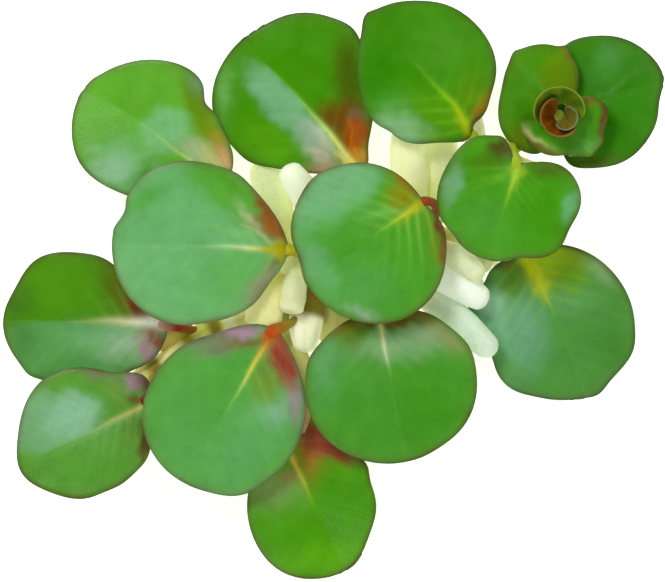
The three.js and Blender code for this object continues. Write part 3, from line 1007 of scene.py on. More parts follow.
        piece, places, along, _ = Workbench.bar(f"{self.name}_stalk", line, radius, STALK_MESH)
        x, y = self.ahead_and_left(places)
        cover = self.petiole[-1][2] + self.height(x, y) + COVER_HEIGHT
        cover = cover - COVER_FALL * smooth_step(*COVER_REACH, x)
        under = (x > COVER_REACH[0]) & (places[:, 2] > cover)
        places[under, 2] = cover[under]
        stops = np.linspace(*PETIOLE_STOPS, len(self.look.petiole))
        Workbench.mould(piece, places, graded(along, stops, self.look.petiole))
        piece.data.materials.append(finishes.stalk)
        return piece

    def build(self, number: int, finishes: Finishes) -> None:
        """Models the leaf and puts it in the place of its solid."""
        piece = Workbench.joined(self.blade(number, finishes), self.stalk(finishes))
        Workbench.hand_over(piece, self.name, self.slot)


# The bud

BUD_THICKNESS = 0.5
BUD_RIM_SHARE = 0.5  # a bud leaf's thickness at its very edge, over its thickness further in
BUD_RIM_WIDTH = 0.12  # over which it thickens, as a share of the leaf
BUD_GROOVE_DEPTH = 0.12
BUD_GROOVE_WIDTH = 0.06
BUD_CURL = 0.25  # how far its margins curl in
BUD_FOLDS: tuple[Pair, Pair] = ((5, 3), (3, -2))  # how fast folds of tone run round the leaf and up it
BUD_RIM_TONE = 0.9
BUD_TOP_CRISPNESS = 14  # of the rim's tone along the leaf's top
BUD_SIDE_CRISPNESS = 16


@dataclass(frozen=True)
class BudLeaf:
    """An unopened leaf, curled round the upright tip of the stem.

    facing is the direction of its middle, seen from the axis that it is curled round, and wrap is how far it
    reaches round to either side. radii and heights are those of its foot and its top.
    """

    name: str
    facing: float
    wrap: float
    radii: Pair
    heights: Pair
    outside: str
    inside: str
    rim: str
    axis: Pair

    def build(self, finishes: Finishes) -> None:
        """Models the leaf and puts it in the place of its solid.

        Args:
            finishes: The plant's materials.
        """
        piece = Workbench.sheet(f"{self.name}_skin", BUD_LEAF_MESH)
        unit = Workbench.places(piece)
        along = eased((unit[:, 0] + 1) / 2)
        across = unit[:, 1]
        out = np.abs(across)
        wave = np.sqrt(np.sin(np.pi * (BUD_FOOT_PHASE + BUD_PHASE_SPAN * along)))
        turn = np.radians(self.facing + across * self.wrap * up_from(BUD_LEAST_REACH, wave))
        radius = self.radii[0] + (self.radii[1] - self.radii[0]) * np.sin(np.pi / 2 * along)
        groove = BUD_GROOVE_DEPTH * np.exp(-((across / BUD_GROOVE_WIDTH) ** 2))
        radius = radius - groove - BUD_CURL * out ** 3
        height = self.heights[0] + (self.heights[1] - self.heights[0]) * along
        places = np.column_stack([
            self.axis[0] + radius * np.cos(turn), self.axis[1] + radius * np.sin(turn), height,
        ])
        tones = np.tile(linear(self.outside), (len(along), 1))
        (a, b), (c, d) = BUD_FOLDS
        folds = np.sin(a * turn + b * along) * np.sin(c * turn + d * along + self.facing)
        tones = blend(tones, linear(self.inside), 0.5 + 0.5 * folds)
        # The rim tone along the top and sides; on the outer and inner leaves it is partly a painted highlight
        rim = BUD_RIM_TONE * np.maximum(along ** BUD_TOP_CRISPNESS, out ** BUD_SIDE_CRISPNESS)
        tones = blend(tones, linear(self.rim), rim)
        Workbench.mould(piece, places, tones)
        for _ in range(SHEET_SLOTS):
            piece.data.materials.append(finishes.face)
        inland = smooth_step(0, BUD_RIM_WIDTH, np.minimum(1 - out, 1 - along))
        Workbench.thicken(piece, BUD_THICKNESS, up_from(BUD_RIM_SHARE, inland))
        Workbench.hand_over(piece, self.name, "bud")


# Floats

DOME_START = 0.93  # where along a float its domed tip begins
DOME_LENGTH = 0.075
FURROWS = 7
FURROW_DEPTH = 0.014
FURROW_TONE = 0.18
FINE_FURROWS = 13
FINE_FURROW_DEPTH = 0.01
LUMPS_ALONG = 23
LUMPS_ROUND = 3
LUMP_HEIGHT = 0.02
LUMP_PHASE = 1.3  # from one float to the next, round the float


@dataclass(frozen=True)
class Float:
    """A spongy root: thin where it leaves the stem, swollen, and blunt at the tip.

    width is its greatest width and widest is where along it that is, stalk is its width at the stem over its
    greatest width, and turning is where along it its first tone begins and ends turning into its second.
    """

    name: str
    line: tuple[Point, ...]
    width: float
    widest: float = 0.6
    stalk: float = FLOAT_STALK_SHARE
    tones: tuple[str, str] = ("#c3c27a", "#e8e8cc")
    turning: Pair = (0.05, 0.6)

    def radius(self, share: Array) -> Array:
        """The float's plain radius.

        Args:
            share: Shares of its length.

        Returns:
            The radius at each.
        """
        grown = np.clip(share / self.widest, 0, 1)
        rounded = FLOAT_CLOSING * np.clip((share - self.widest) / (1 - self.widest), 0, 1)
        swelling = np.where(
            share < self.widest,
            np.sin(np.pi / 2 * grown) ** FLOAT_TAPER,
            np.cos(np.pi / 2 * rounded) ** FLOAT_BLUNTNESS,
        )
        return self.width / 2 * up_from(self.stalk, swelling)

    def build(self, number: int, finishes: Finishes) -> None:
        """Models the float and puts it in the place of its solid.

        Args:
            number: The float's number, which turns its furrows.
            finishes: The plant's materials.
        """

        def radius(share: Array, angle: Array) -> Array:
            """The radius with faint furrows and lumps, and with a domed tip.

            Args:
                share: Shares of the float's length.
                angle: Angles round it.

            Returns:
                The radius at each place.
            """
            dome = np.sqrt(np.clip(1 - ((share - DOME_START) / DOME_LENGTH).clip(0, 1) ** 2, 0, 1))
            furrows = FURROW_DEPTH * np.cos(FURROWS * angle + number)
            furrows = furrows + FINE_FURROW_DEPTH * np.cos(FINE_FURROWS * angle - 2 * number)
            lumps = LUMP_HEIGHT * np.sin(LUMPS_ALONG * share + number)
            lumps = lumps * np.sin(LUMPS_ROUND * angle + LUMP_PHASE * number)
            return self.radius(share) * dome * (1 + furrows + lumps)

        piece, places, share, angle = Workbench.bar(
            f"{self.name}_skin", Line(self.line), radius, FLOAT_MESH, Tufting.EASED,
        )
        places[:, 2] = np.maximum(places[:, 2], 0)
        near, far = (linear(tone) for tone in self.tones)
        tones = blend(np.tile(near, (len(share), 1)), far, smooth_step(*self.turning, share))
        tones = blend(tones, near, FURROW_TONE * (0.5 + 0.5 * np.cos(FURROWS * angle + number)))
        Workbench.mould(piece, places, tones)
        piece.data.materials.append(finishes.sponge)
        Workbench.hand_over(piece, self.name, "float")


# The stem

STEM_FULLNESS = 0.3  # how much fuller the old end of the stem is than its solid
STEM_FULL_END: Pair = (0.35, 0.6)  # where along the stem that ends
STEM_RIBS = 9
STEM_RIB_HEIGHT = 0.012
STEM_RIB_TONE = 0.15
STEM_TIP_START = 0.6  # where along the stem its tone begins to turn into the tip's
NODE_TONE = 0.75
NODE_RING_WIDTH = 0.0028
NODE_RING_DEPTH = 0.05
BAND_REACH = 0.011  # of a tone on the stem, as a share of its length
BAND_TONE = 0.95


@dataclass(frozen=True)
class Stem:
    """The creeping stem, swollen at its nodes, with its growing tip turned up.

    It has a node at each point of its line but the two ends. bands are tones at places along it.
    """

    line: tuple[Point, ...]
    ground: str = "#ece490"
    node: str = "#a0921e"
    tip: str = "#9db03c"
    bands: tuple[tuple[Point, str], ...] = ()

    def build(self, finishes: Finishes) -> None:
        """Models the stem and puts it in the place of its solid.

        Args:
            finishes: The plant's materials.
        """
        line = Line(self.line)
        nodes = [line.share_nearest(point) for point in self.line[1:-1]]

        def near_nodes(share: Array, width: float) -> Array:
            """How near places are to the nodes: 1 at a node, falling to 0 over a width."""
            return sum(np.exp(-(((share - n) / width) ** 2)) for n in nodes)

        def swelling(share: Array) -> Array:
            """How swollen the stem is: 1 at a node, 0 between nodes."""
            return np.minimum(1, near_nodes(share, NODE_SPREAD))

        def radius(share: Array, angle: Array) -> Array:
            """The stem's radius, with faint ribs and a ring at each node.

            Args:
                share: Shares of the stem's length.
                angle: Angles round it.

            Returns:
                The radius at each place.
            """
            plain = STEM_RADIUS + (STEM_TIP_RADIUS - STEM_RADIUS) * share
            plain = plain * (1 + STEM_FULLNESS * (1 - smooth_step(*STEM_FULL_END, share)))
            ribs = STEM_RIB_HEIGHT * np.cos(STEM_RIBS * angle)
            rings = NODE_RING_DEPTH * near_nodes(share, NODE_RING_WIDTH)
            return plain * (1 + NODE_SWELLING * swelling(share) + ribs - rings)

        piece, places, share, angle = Workbench.bar("stem_skin", line, radius, STEM_MESH)
        tones = np.tile(linear(self.ground), (len(share), 1))
        tones = blend(tones, linear(self.tip), smooth_step(STEM_TIP_START, 1, share))
        tones = blend(tones, linear(self.node), NODE_TONE * swelling(share) ** 2)
        for place, tone in self.bands:
            apart = (share - line.share_nearest(place)) / BAND_REACH
            tones = blend(tones, linear(tone), BAND_TONE * np.exp(-apart ** 4))
        tones = blend(tones, linear(self.node), STEM_RIB_TONE * (0.5 + 0.5 * np.cos(STEM_RIBS * angle)))
        Workbench.mould(piece, places, tones)
        piece.data.materials.append(finishes.stalk)
        Workbench.hand_over(piece, "stem", "stem")


# The plant

STEM = Stem(line=(
    (-41.8, -20.0, 5.6), (-36.7, -16.3, 6.6), (-25.7, -8.3, 7.2), (-16.4, -4.9, 7.4),
    (-11.6, 1.2, 7.5), (-8.8, 6.6, 7.6), (-1.5, 8.6, 7.8), (5.0, 7.8, 7.9),
    (11.2, 7.2, 8.0), (18.3, 11.6, 8.2), (25.9, 19.6, 8.8), (35.9, 28.1, 10.6),
    (41.8, 32.6, 12.2), (44.3, 34.4, 14.6), (44.9, 35.0, 17.4), (45.0, 35.1, 20.2),
), bands=(
    ((-38.0, -17.2, 6.4), "#e4d88c"), ((-35.4, -15.3, 6.6), "#86740a"), ((-32.4, -13.1, 6.8), "#ece4a0"),
    # The pale bands at (-26.0, -8.5), (-20.6, -6.2) and (-17.8, -5.4) are lighter than the stem's own cream
    # to lift the shade of the leaves above: partly painted light
    ((-28.6, -10.4, 7.0), "#aa9c10"), ((-26.0, -8.5, 7.2), "#f0ea78"), ((-23.6, -7.4, 7.2), "#8c7c1c"),
    ((-20.6, -6.2, 7.3), "#f8f0d0"), ((-17.8, -5.4, 7.4), "#f4ecb4"), ((-11.0, 2.2, 7.5), "#a89808"),
    ((-8.6, 6.8, 7.6), "#b0a810"),
))

# Among the tints below, the pale blue-green and grey-green ones are painted sheen, reflections of the sky on
# the glossy blades, and the grey-pink and lilac ones near some bases are painted sheen over the red there
LEAVES: tuple[Leaf, ...] = (
    Leaf(
        "leaf_bottom_left", ((-36.7, -16.3, 6.6), (-36.2, -18.9, 10.0), (-38.3, -22.0, 12.2)),
        heading=206, length=26.8, halves=(13.8, 12.8), base=(0.55, 0.57), tip=(0.5, 0.5),
        pitch=(6, -8), roll=6, fold=5, cup=-0.6,
        look=Look(
            "#549a2c", midrib=("#c0b45e", "#8cb070"),
            petiole=("#9a8a2c", "#6e2410", "#5e1a0c"),
            rib=(1.1, 1.1), flare=0.6, rim="#4a4a20",
            midrib_reach=0.8, midrib_width=0.9, vein="#9cc87a", vein_share=0.1,
            waves=(
                Wave(10, 22, 1.6), Wave(134, 16, 1.1), Wave(-38, 36, -0.9), Wave(84, 15, -0.6),
                Wave(-167, 16, 3.4),
            ),
            tints=(
                Tint((19.0, -4.6), (10.4, 6.6), -22, "#79b07a", 0.9, 6, Side.RIGHT),
                Tint((13.8, -3.4), (5.8, 4.8), -10, "#8cc197", 0.85, 5, Side.RIGHT),
                Tint((10.0, -10.6), (9.0, 2.2), -16, "#569c2a", 0.9, 3, Side.RIGHT),
                Tint((3.6, -3.4), (3.6, 2.4), -50, "#6c9440", 0.7, 2, Side.RIGHT),
                Tint((1.2, -0.2), (2.0, 1.0), -40, "#6a2412", 0.8),
                Tint((5.0, 5.0), (4.0, 2.2), 60, "#5f7a26", 0.6, 2, Side.LEFT),
                Tint((12.0, 7.6), (8.0, 3.4), 8, "#4c9420", 0.5, 2, Side.LEFT),
                Tint((25.0, 3.4), (3.0, 2.6), 0, "#4a8a24", 0.5, 2, Side.LEFT),
                Tint((-0.5, -4.1), (2.8, 2.0), -50, "#a48894", 0.95, 4, Side.RIGHT),
                Tint((3.0, 7.4), (5.0, 1.3), 62, "#50300c", 0.9, 3, Side.LEFT),
                Tint((6.0, -8.6), (4.0, 1.1), -38, "#7c7468", 0.6, 2, Side.RIGHT),
                Tint((-2.2, -2.6), (2.4, 1.5), -60, "#5a3018", 0.9, 2, Side.RIGHT),
            ),
        ),
    ),
    Leaf(
        "leaf_outer_left", ((-25.7, -8.3, 7.2), (-30.2, -7.6, 9.2), (-34.6, -6.9, 10.4)),
        heading=178.5, length=31.3, halves=(12.8, 13.5), base=(0.6, 0.75), tip=(0.5, 0.5),
        pitch=(-2, -14), roll=-4, fold=6, cup=-0.8,
        look=Look(
            "#4b900a", midrib=("#fffaf0", "#d8d0a0", "#b4c070"),
            petiole=("#9a6a20", "#8c2008", "#e0b8a8", "#a02408"),
            rib=(-0.5, -0.6, -0.3, 0.0), flare=0.9, rim="#44441c",
            midrib_width=2.0, vein="#9cc060", vein_share=0.2,
            waves=(
                Wave(-107, 21, 1.0), Wave(-36, 45, 1.2), Wave(-28, 21, -1.5), Wave(45, 9, 0.6),
                Wave(158, 18, 1.7), Wave(180, 13, 1.0),
            ),
            tints=(
                Tint((16.0, 5.4), (18.0, 8.0), 2, "#599e50", 0.95, 8, Side.LEFT),
                Tint((7.4, 3.8), (4.6, 3.4), 10, "#9aba9a", 0.85, 2, Side.LEFT),
                Tint((14.5, 3.0), (5.0, 2.4), 0, "#74ad74", 0.6, 2, Side.LEFT),
                Tint((27.6, 4.0), (4.0, 4.6), 0, "#3f8030", 0.55, 2, Side.LEFT),
                Tint((8.4, -7.0), (7.6, 3.0), -72, "#5c6204", 0.9, 2, Side.RIGHT),
                Tint((4.6, -3.1), (3.0, 2.0), -48, "#7a2a14", 0.95, 3, Side.RIGHT),
                Tint((21.0, -6.4), (6.8, 5.6), 15, "#52960a", 0.6, 2, Side.RIGHT),
                Tint((28.4, -3.3), (3.4, 3.2), 2, "#3c7418", 0.7, 2, Side.RIGHT),
                Tint((0.8, -0.5), (3.4, 1.1), -8, "#f4e6dc", 0.9, 3),
                Tint((2.2, 5.4), (3.6, 2.2), -60, "#a47c8c", 0.9, 3, Side.LEFT),
                Tint((1.2, 2.5), (3.2, 1.3), -40, "#8a2c40", 0.85, 3, Side.LEFT),
            ),
        ),
    ),
    Leaf(
        "leaf_top_left", ((-16.4, -4.9, 7.4), (-19.2, 6.5, 9.4), (-19.6, 17.0, 10.4), (-20.9, 23.2, 10.8)),
        heading=149.5, length=34.2, halves=(14.2, 12.2), base=(0.6, 0.75), tip=(0.5, 0.52),
        pitch=(3, -12), roll=2, fold=5, cup=-0.6,
        look=Look(
            "#5cac22", midrib=("#d4e08a", "#a4d868"),
            petiole=("#a8963c", "#b8803c"),
            rib=(1.9, 1.5, 0.5, -0.3, -0.8), rim="#4c5a2c",
            midrib_reach=0.68, midrib_width=0.9, vein="#a6d86a", vein_share=0.1,
            waves=(
                Wave(-93, 34, 2.2), Wave(55, 24, 1.0), Wave(-23, 26, -0.9), Wave(-119, 11, -1.4),
                Wave(-166, 13, 0.9),
            ),
            tints=(
                Tint((19.0, 9.6), (7.0, 6.4), 40, "#76b678", 0.75, 3),
                Tint((20.0, 10.6), (3.4, 3.0), 30, "#90c298", 0.85, 3),
                Tint((14.9, 8.0), (2.8, 1.3), -55, "#4f9a28", 0.8),
                Tint((25.0, 10.2), (4.0, 1.2), -40, "#86b47a", 0.5),
                Tint((9.6, -6.6), (7.6, 2.6), -34, "#6c9206", 0.95, 3, Side.RIGHT),
                Tint((13.4, -9.6), (5.0, 1.8), -40, "#5c8c00", 0.9, 3, Side.RIGHT),
                Tint((14.7, -12.8), (2.6, 1.5), -20, "#74907a", 0.7, 2, Side.RIGHT),
                Tint((9.0, -0.6), (5.4, 2.4), -8, "#b4cc98", 0.85, 3, Side.RIGHT),
                Tint((15.4, -1.2), (5.2, 4.8), 70, "#7cc07c", 0.85, 6),
                Tint((4.2, -3.6), (3.8, 2.0), -38, "#a89a28", 0.9, 3, Side.RIGHT),
                Tint((2.2, -2.2), (2.8, 1.6), -40, "#e4ac80", 0.95, 3, Side.RIGHT),
                Tint((5.0, -1.4), (3.2, 1.4), -20, "#d2cc84", 0.9, 2, Side.RIGHT),
            ),
        ),
    ),
    Leaf(
        "leaf_inner_left", ((-8.8, 6.6, 7.6), (-7.0, 8.0, 12.8), (-9.0, 8.3, 17.2)),
        heading=178, length=35.3, halves=(16.4, 16.9), base=(0.6, 0.68), tip=(0.5, 0.5),
        pitch=(6, -8), roll=2, fold=4, cup=-0.6,
        look=Look(
            # The blue-green ground is painted sheen, a reflection of the sky over the whole blade, laid on
            # the leaf's green
            "#6cb46c", midrib=("#b4ac00", "#b8b81c", "#dce8a0", "#bce09a", "#a6d688"),
            petiole=("#b0a850", "#b0a818", "#b8b000"),
            rib=(0.2, 0.0, -0.1, 0.0), flare=1.1, rim="#5e5c34",
            midrib_reach=0.68, midrib_width=1.1, vein="#a8dc90", vein_share=0.15,
            waves=(
                Wave(-21, 9, -1.3), Wave(-116, 14, 0.6), Wave(97, 24, -0.7), Wave(154, 14, -0.8),
            ),
            tints=(
                Tint((13.1, -12.4), (11.0, 4.0), -36, "#4ea214", 0.95, 3, Side.RIGHT),
                Tint((12.0, -9.0), (8.0, 2.4), -38, "#5cae3c", 0.7, 2, Side.RIGHT),
                Tint((28.6, -9.4), (5.2, 2.2), 30, "#4ca234", 0.8, 2, Side.RIGHT),
                Tint((9.6, 5.4), (8.0, 5.6), 25, "#5eae46", 0.7, 2, Side.LEFT),
                Tint((2.2, 2.8), (2.4, 1.0), 52, "#767614", 0.9, 2, Side.LEFT),
                Tint((10.5, -3.0), (5.0, 1.0), -14, "#86c86c", 0.5, 2, Side.RIGHT),
                Tint((5.6, -4.4), (3.4, 2.0), -40, "#86581c", 0.85, 3, Side.RIGHT),
                Tint((2.6, -5.4), (5.6, 2.1), -57, "#ac5a04", 1, 4, Side.RIGHT),
                Tint((5.2, -8.2), (3.8, 1.2), -54, "#86440e", 0.9, 3, Side.RIGHT),
                Tint((7.6, -5.6), (4.0, 0.8), -48, "#b4cc90", 0.7, 2, Side.RIGHT),
                Tint((6.4, -3.0), (4.6, 0.5), -30, "#b4c888", 0.6, 2, Side.RIGHT),
                Tint((5.2, 7.8), (5.6, 2.1), 55, "#8c8c68", 0.85, 3, Side.LEFT),
                Tint((1.5, 0.3), (2.7, 2.0), 4, "#b4ae00", 1, 4),
            ),
        ),
    ),
    Leaf(
        "leaf_front_left", (
            (-1.5, 8.6, 7.8), (-3.0, 2.4, 9.8), (-4.9, -3.4, 10.4),
            (-8.4, -6.4, 11.6), (-12.5, -8.6, 15.6),
        ),
        heading=237.5, length=34.6, halves=(16.6, 15.9), base=(0.56, 0.55), tip=(0.5, 0.5),
        pitch=(4, -10), roll=-2, fold=6, cup=-0.8,
        look=Look(
            "#54a63e", midrib=("#c04a10", "#d8b840", "#dce050", "#d0e070", "#b0da78"),
            petiole=("#a09a3c", "#b04818", "#903c14", "#7c7c20", "#8a8420", "#9a6a1c", "#b8380a", "#a0400a"),
            rib=(0.2, 0.6, 1.2, 1.6), flare=1.3, girth=1.15, rim="#5c5640",
            midrib_reach=0.6, midrib_width=0.9, vein="#a0d070", vein_share=0.14,
            waves=(
                Wave(43, 16, 0.8), Wave(-105, 40, -0.9), Wave(-140, 20, -1.0), Wave(180, 18, 1.2),
            ),
            tints=(
                Tint((19.0, 8.4), (13.0, 6.6), -4, "#64ad60", 0.8, 3, Side.LEFT),
                Tint((12.6, 9.2), (3.0, 2.4), -30, "#8ab898", 0.7, 2, Side.LEFT),
                Tint((28.4, 2.0), (7.0, 9.0), 0, "#60aa58", 0.6),
                Tint((20.3, -8.7), (9.0, 4.4), 10, "#5ea74c", 0.6, 2, Side.RIGHT),
                Tint((7.0, -7.6), (7.0, 2.5), -48, "#80886c", 0.85, 3, Side.RIGHT),
                Tint((2.9, -5.2), (4.6, 1.3), -54, "#b088a2", 1, 4, Side.RIGHT),
                Tint((4.6, -3.6), (4.6, 1.1), -54, "#7a6438", 0.9, 2, Side.RIGHT),
                Tint((8.8, 4.2), (3.6, 2.6), 20, "#7c9c22", 0.7, 2, Side.LEFT),
                Tint((1.6, 2.6), (2.4, 1.5), 30, "#c04222", 1, 3, Side.LEFT),
                Tint((8.6, 11.2), (5.0, 1.4), 40, "#9a8890", 0.9, 2, Side.LEFT),
                Tint((0.0, 0.6), (3.4, 1.5), -10, "#b85210", 1, 3),
                Tint((6.2, 3.4), (5.4, 3.0), 38, "#749038", 0.7, 2, Side.LEFT),
                Tint((3.4, 5.4), (5.2, 2.4), 50, "#963a2e", 1, 4, Side.LEFT),
            ),
        ),
    ),
    Leaf(
        "leaf_bottom", (
            (-8.8, 6.6, 7.6), (-9.9, -0.6, 5.0), (-9.4, -7.0, 5.4), (-7.5, -11.8, 7.8),
            (-5.6, -17.6, 9.6), (-5.8, -24.0, 10.5), (-7.4, -29.0, 10.4),
        ),
        heading=289.5, length=29.2, halves=(10.9, 14.8), base=(0.6, 0.5), tip=(0.5, 0.5),
        pitch=(0, -14), roll=3, fold=5, cup=-0.5,
        look=Look(
            "#4a9c08", midrib=("#dca848", "#e4b850", "#c0cc40", "#98c828"),
            petiole=("#a0a048", "#b8c070", "#c8906a"),
            rib=(-2.6, -2.1, -1.3, -0.6, 0.0), girth=2.8, rim="#4c4420",
            midrib_reach=0.62, midrib_width=0.9, vein="#8cc430", vein_share=0.12,
            waves=(
                Wave(34, 28, -1.6), Wave(112, 12, 1.2), Wave(148, 20, 2.6), Wave(-50, 31, 1.0),
                Wave(168, 12, 3.2),
            ),
            tints=(
                Tint((4.6, 1.0), (4.6, 2.6), -20, "#a8622a", 0.95),
                Tint((25.2, -3.0), (8.0, 3.0), 80, "#62b40c", 0.8),
                Tint((7.8, 2.4), (2.8, 2.4), 10, "#6c8c18", 0.5),
                Tint((16.0, 4.0), (6.0, 4.0), 0, "#3f9606", 0.4, 2, Side.LEFT),
                # The olive base margin, lightened to lift the shade that leaf_front_left casts here: partly
                # painted light
                Tint((8.6, -8.2), (4.0, 6.6), -12, "#86a45c", 0.85, 2, Side.RIGHT),
                Tint((3.4, 5.8), (7.6, 3.4), 48, "#983c30", 1, 4, Side.LEFT),
                Tint((7.2, -4.2), (1.6, 2.4), -20, "#a88a58", 0.7, 2, Side.RIGHT),
            ),
        ),
    ),
    Leaf(
        "leaf_front_right", ((5.0, 7.8, 7.9), (7.3, 2.8, 12.8), (8.7, -4.0, 16.9)),
        heading=280.5, length=30.8, halves=(17.1, 17.2), base=(0.55, 0.5), tip=(0.5, 0.5),
        lobes=(0.5, 0.5), pitch=(2, -10), roll=0, fold=4, cup=-0.6,
        look=Look(
            "#4a9a28", midrib=("#b8a848", "#d4d890", "#dcf0c0", "#a8d070"),
            petiole=("#b0a050", "#a8802c"),
            rib=(0.2, 0.2), rim="#4e4418",
            midrib_reach=0.5, midrib_width=1.0, vein="#98c870", vein_share=0.1,
            waves=(
                Wave(30, 13, -0.2), Wave(140, 18, 0.7), Wave(108, 16, 0.8), Wave(-119, 12, 0.5),
            ),
            tints=(
                Tint((7.2, 3.0), (11.2, 3.6), 84, "#84ae78", 0.85, 3),
                Tint((8.2, -12.0), (7.4, 3.2), -14, "#66a868", 0.8, 2, Side.RIGHT),
                Tint((23.5, 5.8), (8.4, 7.4), 80, "#3c9008", 0.75, 2, Side.LEFT),
                Tint((6.4, 11.4), (5.6, 1.5), 40, "#9a8e58", 0.7, 2, Side.LEFT),
                Tint((5.8, 8.2), (4.0, 1.6), 60, "#98a880", 0.6, 2, Side.LEFT),
                Tint((13.0, -6.0), (5.0, 4.0), 0, "#56a23c", 0.5, 2, Side.RIGHT),
                Tint((1.8, -6.6), (3.0, 2.4), -50, "#747406", 0.9, 2, Side.RIGHT),
                # A dark olive-brown band along the base: the leaf's own brown, deepened by painted shade from
                # leaf_centre's edge
                Tint((2.2, 1.6), (8.6, 1.9), 84, "#5c4e04", 1, 4),
                Tint((3.4, -5.2), (3.4, 2.2), -60, "#5e7c10", 0.8, 2, Side.RIGHT),
                Tint((1.0, -7.0), (2.2, 2.0), -50, "#7c6c0c", 0.9, 3, Side.RIGHT),
                Tint((1.6, 9.0), (2.6, 1.4), 30, "#7c7c2c", 0.8, 2, Side.LEFT),
            ),
        ),
    ),
    Leaf(
        "leaf_top_middle", ((11.2, 7.2, 8.0), (9.8, 13.8, 10.6), (7.0, 20.4, 12.2), (4.5, 24.4, 13.2)),
        heading=129, length=34.6, halves=(16.4, 16.4), base=(0.8, 0.75), tip=(0.5, 0.5),
        pitch=(4, -8), roll=-11, fold=-2, cup=-0.4,
        look=Look(
            "#429200", midrib=("#f4e070", "#eef480", "#c8e880", "#98d050"),
            petiole=("#b0a050", "#a86a14"),
            rib=(-0.3, -0.3, -0.2, 0.5, 1.4), flare=0.5, rim="#3c4c14",
            midrib_reach=0.8, midrib_width=1.2, vein="#7cbc30", vein_share=0.12,
            waves=(
                Wave(100, 14, 0.8), Wave(-74, 12, 0.8), Wave(-175, 9, 1.8), Wave(-10, 16, -0.4),
            ),
            tints=(
                Tint((19.6, 3.4), (10.8, 3.7), 3, "#76b680", 0.95, 6, Side.LEFT),
                Tint((11.0, 2.6), (3.6, 2.8), 0, "#98ac98", 0.8, 3, Side.LEFT),
                Tint((6.4, 3.6), (3.0, 2.4), 30, "#c6beaa", 0.95, 3, Side.LEFT),
                Tint((4.4, 5.8), (3.4, 1.2), 58, "#dba48c", 0.9, 2, Side.LEFT),
                Tint((28.6, 10.6), (6.2, 1.7), -42, "#6cae54", 0.8, 2, Side.LEFT),
                Tint((30.0, 4.0), (3.0, 3.0), 0, "#4e9c14", 0.5, 2, Side.LEFT),
                Tint((10.4, -4.6), (3.0, 5.0), -28, "#5c5c02", 0.9, 3, Side.RIGHT),
                Tint((15.4, -10.4), (8.0, 3.0), -36, "#4c6000", 0.9, 3, Side.RIGHT),
                Tint((8.4, -4.0), (4.4, 5.0), -40, "#744404", 0.9, 3, Side.RIGHT),
                Tint((4.6, -3.6), (4.6, 2.8), -38, "#a84c04", 1, 4, Side.RIGHT),
                Tint((1.9, -1.8), (2.4, 0.9), -35, "#e08c18", 0.95, 3, Side.RIGHT),
                Tint((4.4, -2.4), (3.4, 0.35), -38, "#d87a14", 0.7, 2, Side.RIGHT),
                Tint((8.0, -7.4), (1.8, 1.2), 51, "#86745c", 0.5, 2, Side.RIGHT),
                Tint((14.2, 10.6), (8.0, 4.4), 14, "#56a204", 0.9, 3, Side.LEFT),
                Tint((28.0, -5.0), (5.0, 6.0), 0, "#3c9000", 0.5, 2, Side.RIGHT),
                Tint((2.8, 0.8), (2.2, 0.9), 5, "#f2d870", 0.95, 3),
                Tint((8.0, 1.0), (4.6, 1.0), 8, "#ccd4b4", 0.8, 2, Side.LEFT),
                Tint((0.6, -2.9), (2.2, 1.2), -40, "#d8a040", 0.95, 2, Side.RIGHT),
            ),
        ),
    ),
    Leaf(
        "leaf_centre", ((18.3, 11.6, 8.2), (19.6, 13.4, 13.0), (20.4, 17.0, 18.0), (17.9, 17.8, 21.0)),
        heading=216.5, length=28.8, halves=(16.9, 16.4), base=(0.46, 0.46), tip=(0.5, 0.5),
        lobes=(1, 1), pitch=(8, -2), roll=0, fold=3, cup=-0.8,
        look=Look(
            "#4a9f22", midrib=("#b0b010", "#bccc30", "#a0cc3c", "#80c440"),
            petiole=("#b09040", "#904810", "#742c06"),
            rib=(-0.1, -0.3, -0.1), flare=0.6, girth=1.35, rim="#54401c",
            midrib_reach=0.52, midrib_width=1.0, vein="#8cc840", vein_share=0.55,
            waves=(
                Wave(155, 14, 0.7), Wave(-22, 16, -1.2), Wave(-90, 14, 0.5),
            ),
            tints=(
                Tint((13.0, -12.0), (11.6, 5.6), 0, "#78ba7e", 0.95, 5, Side.RIGHT),
                Tint((14.0, -5.0), (8.0, 3.6), -18, "#54a83c", 0.7, 2, Side.RIGHT),
                Tint((25.0, -2.4), (3.6, 7.0), 0, "#6eb070", 0.85, 3),
                Tint((19.6, 7.0), (6.0, 6.0), -40, "#5aa650", 0.7, 2, Side.LEFT),
                Tint((23.4, 10.6), (4.0, 1.1), -56, "#8eb28e", 0.8, 2, Side.LEFT),
                Tint((3.2, 7.6), (5.6, 1.6), 66, "#6c8c10", 0.6, 2, Side.LEFT),
                Tint((0.6, -5.2), (3.2, 1.6), -88, "#a87006", 0.95, 2, Side.RIGHT),
                Tint((2.8, -3.0), (3.2, 3.4), -40, "#8c8e00", 0.95, 3, Side.RIGHT),
                Tint((2.4, 0.4), (3.2, 1.0), 8, "#a8a808", 0.9, 3),
                Tint((0.6, 6.4), (4.8, 1.1), 68, "#6e2c10", 1, 2, Side.LEFT),
                Tint((3.4, 11.6), (4.0, 0.7), 52, "#8a4c1c", 0.8, 2, Side.LEFT),
                Tint((8.0, -2.8), (4.6, 0.8), -28, "#86c060", 0.5, 2, Side.RIGHT),
            ),
        ),
    ),
    Leaf(
        "leaf_lower_right", ((28.6, 22.0, 9.4), (33.6, 15.5, 10.2), (38.5, 8.1, 10.6)),
        heading=292.6, length=32.2, halves=(15.8, 15.3), base=(0.5, 0.36), tip=(0.5, 0.52),
        lobes=(0.5, 0.5), pitch=(-5, -9), roll=9, fold=2, cup=-0.4,
        look=Look(
            "#4a9234", midrib=("#b8bc04", "#bccc20", "#b8d83c", "#98cc60"),
            petiole=("#a8a040", "#96a010"),
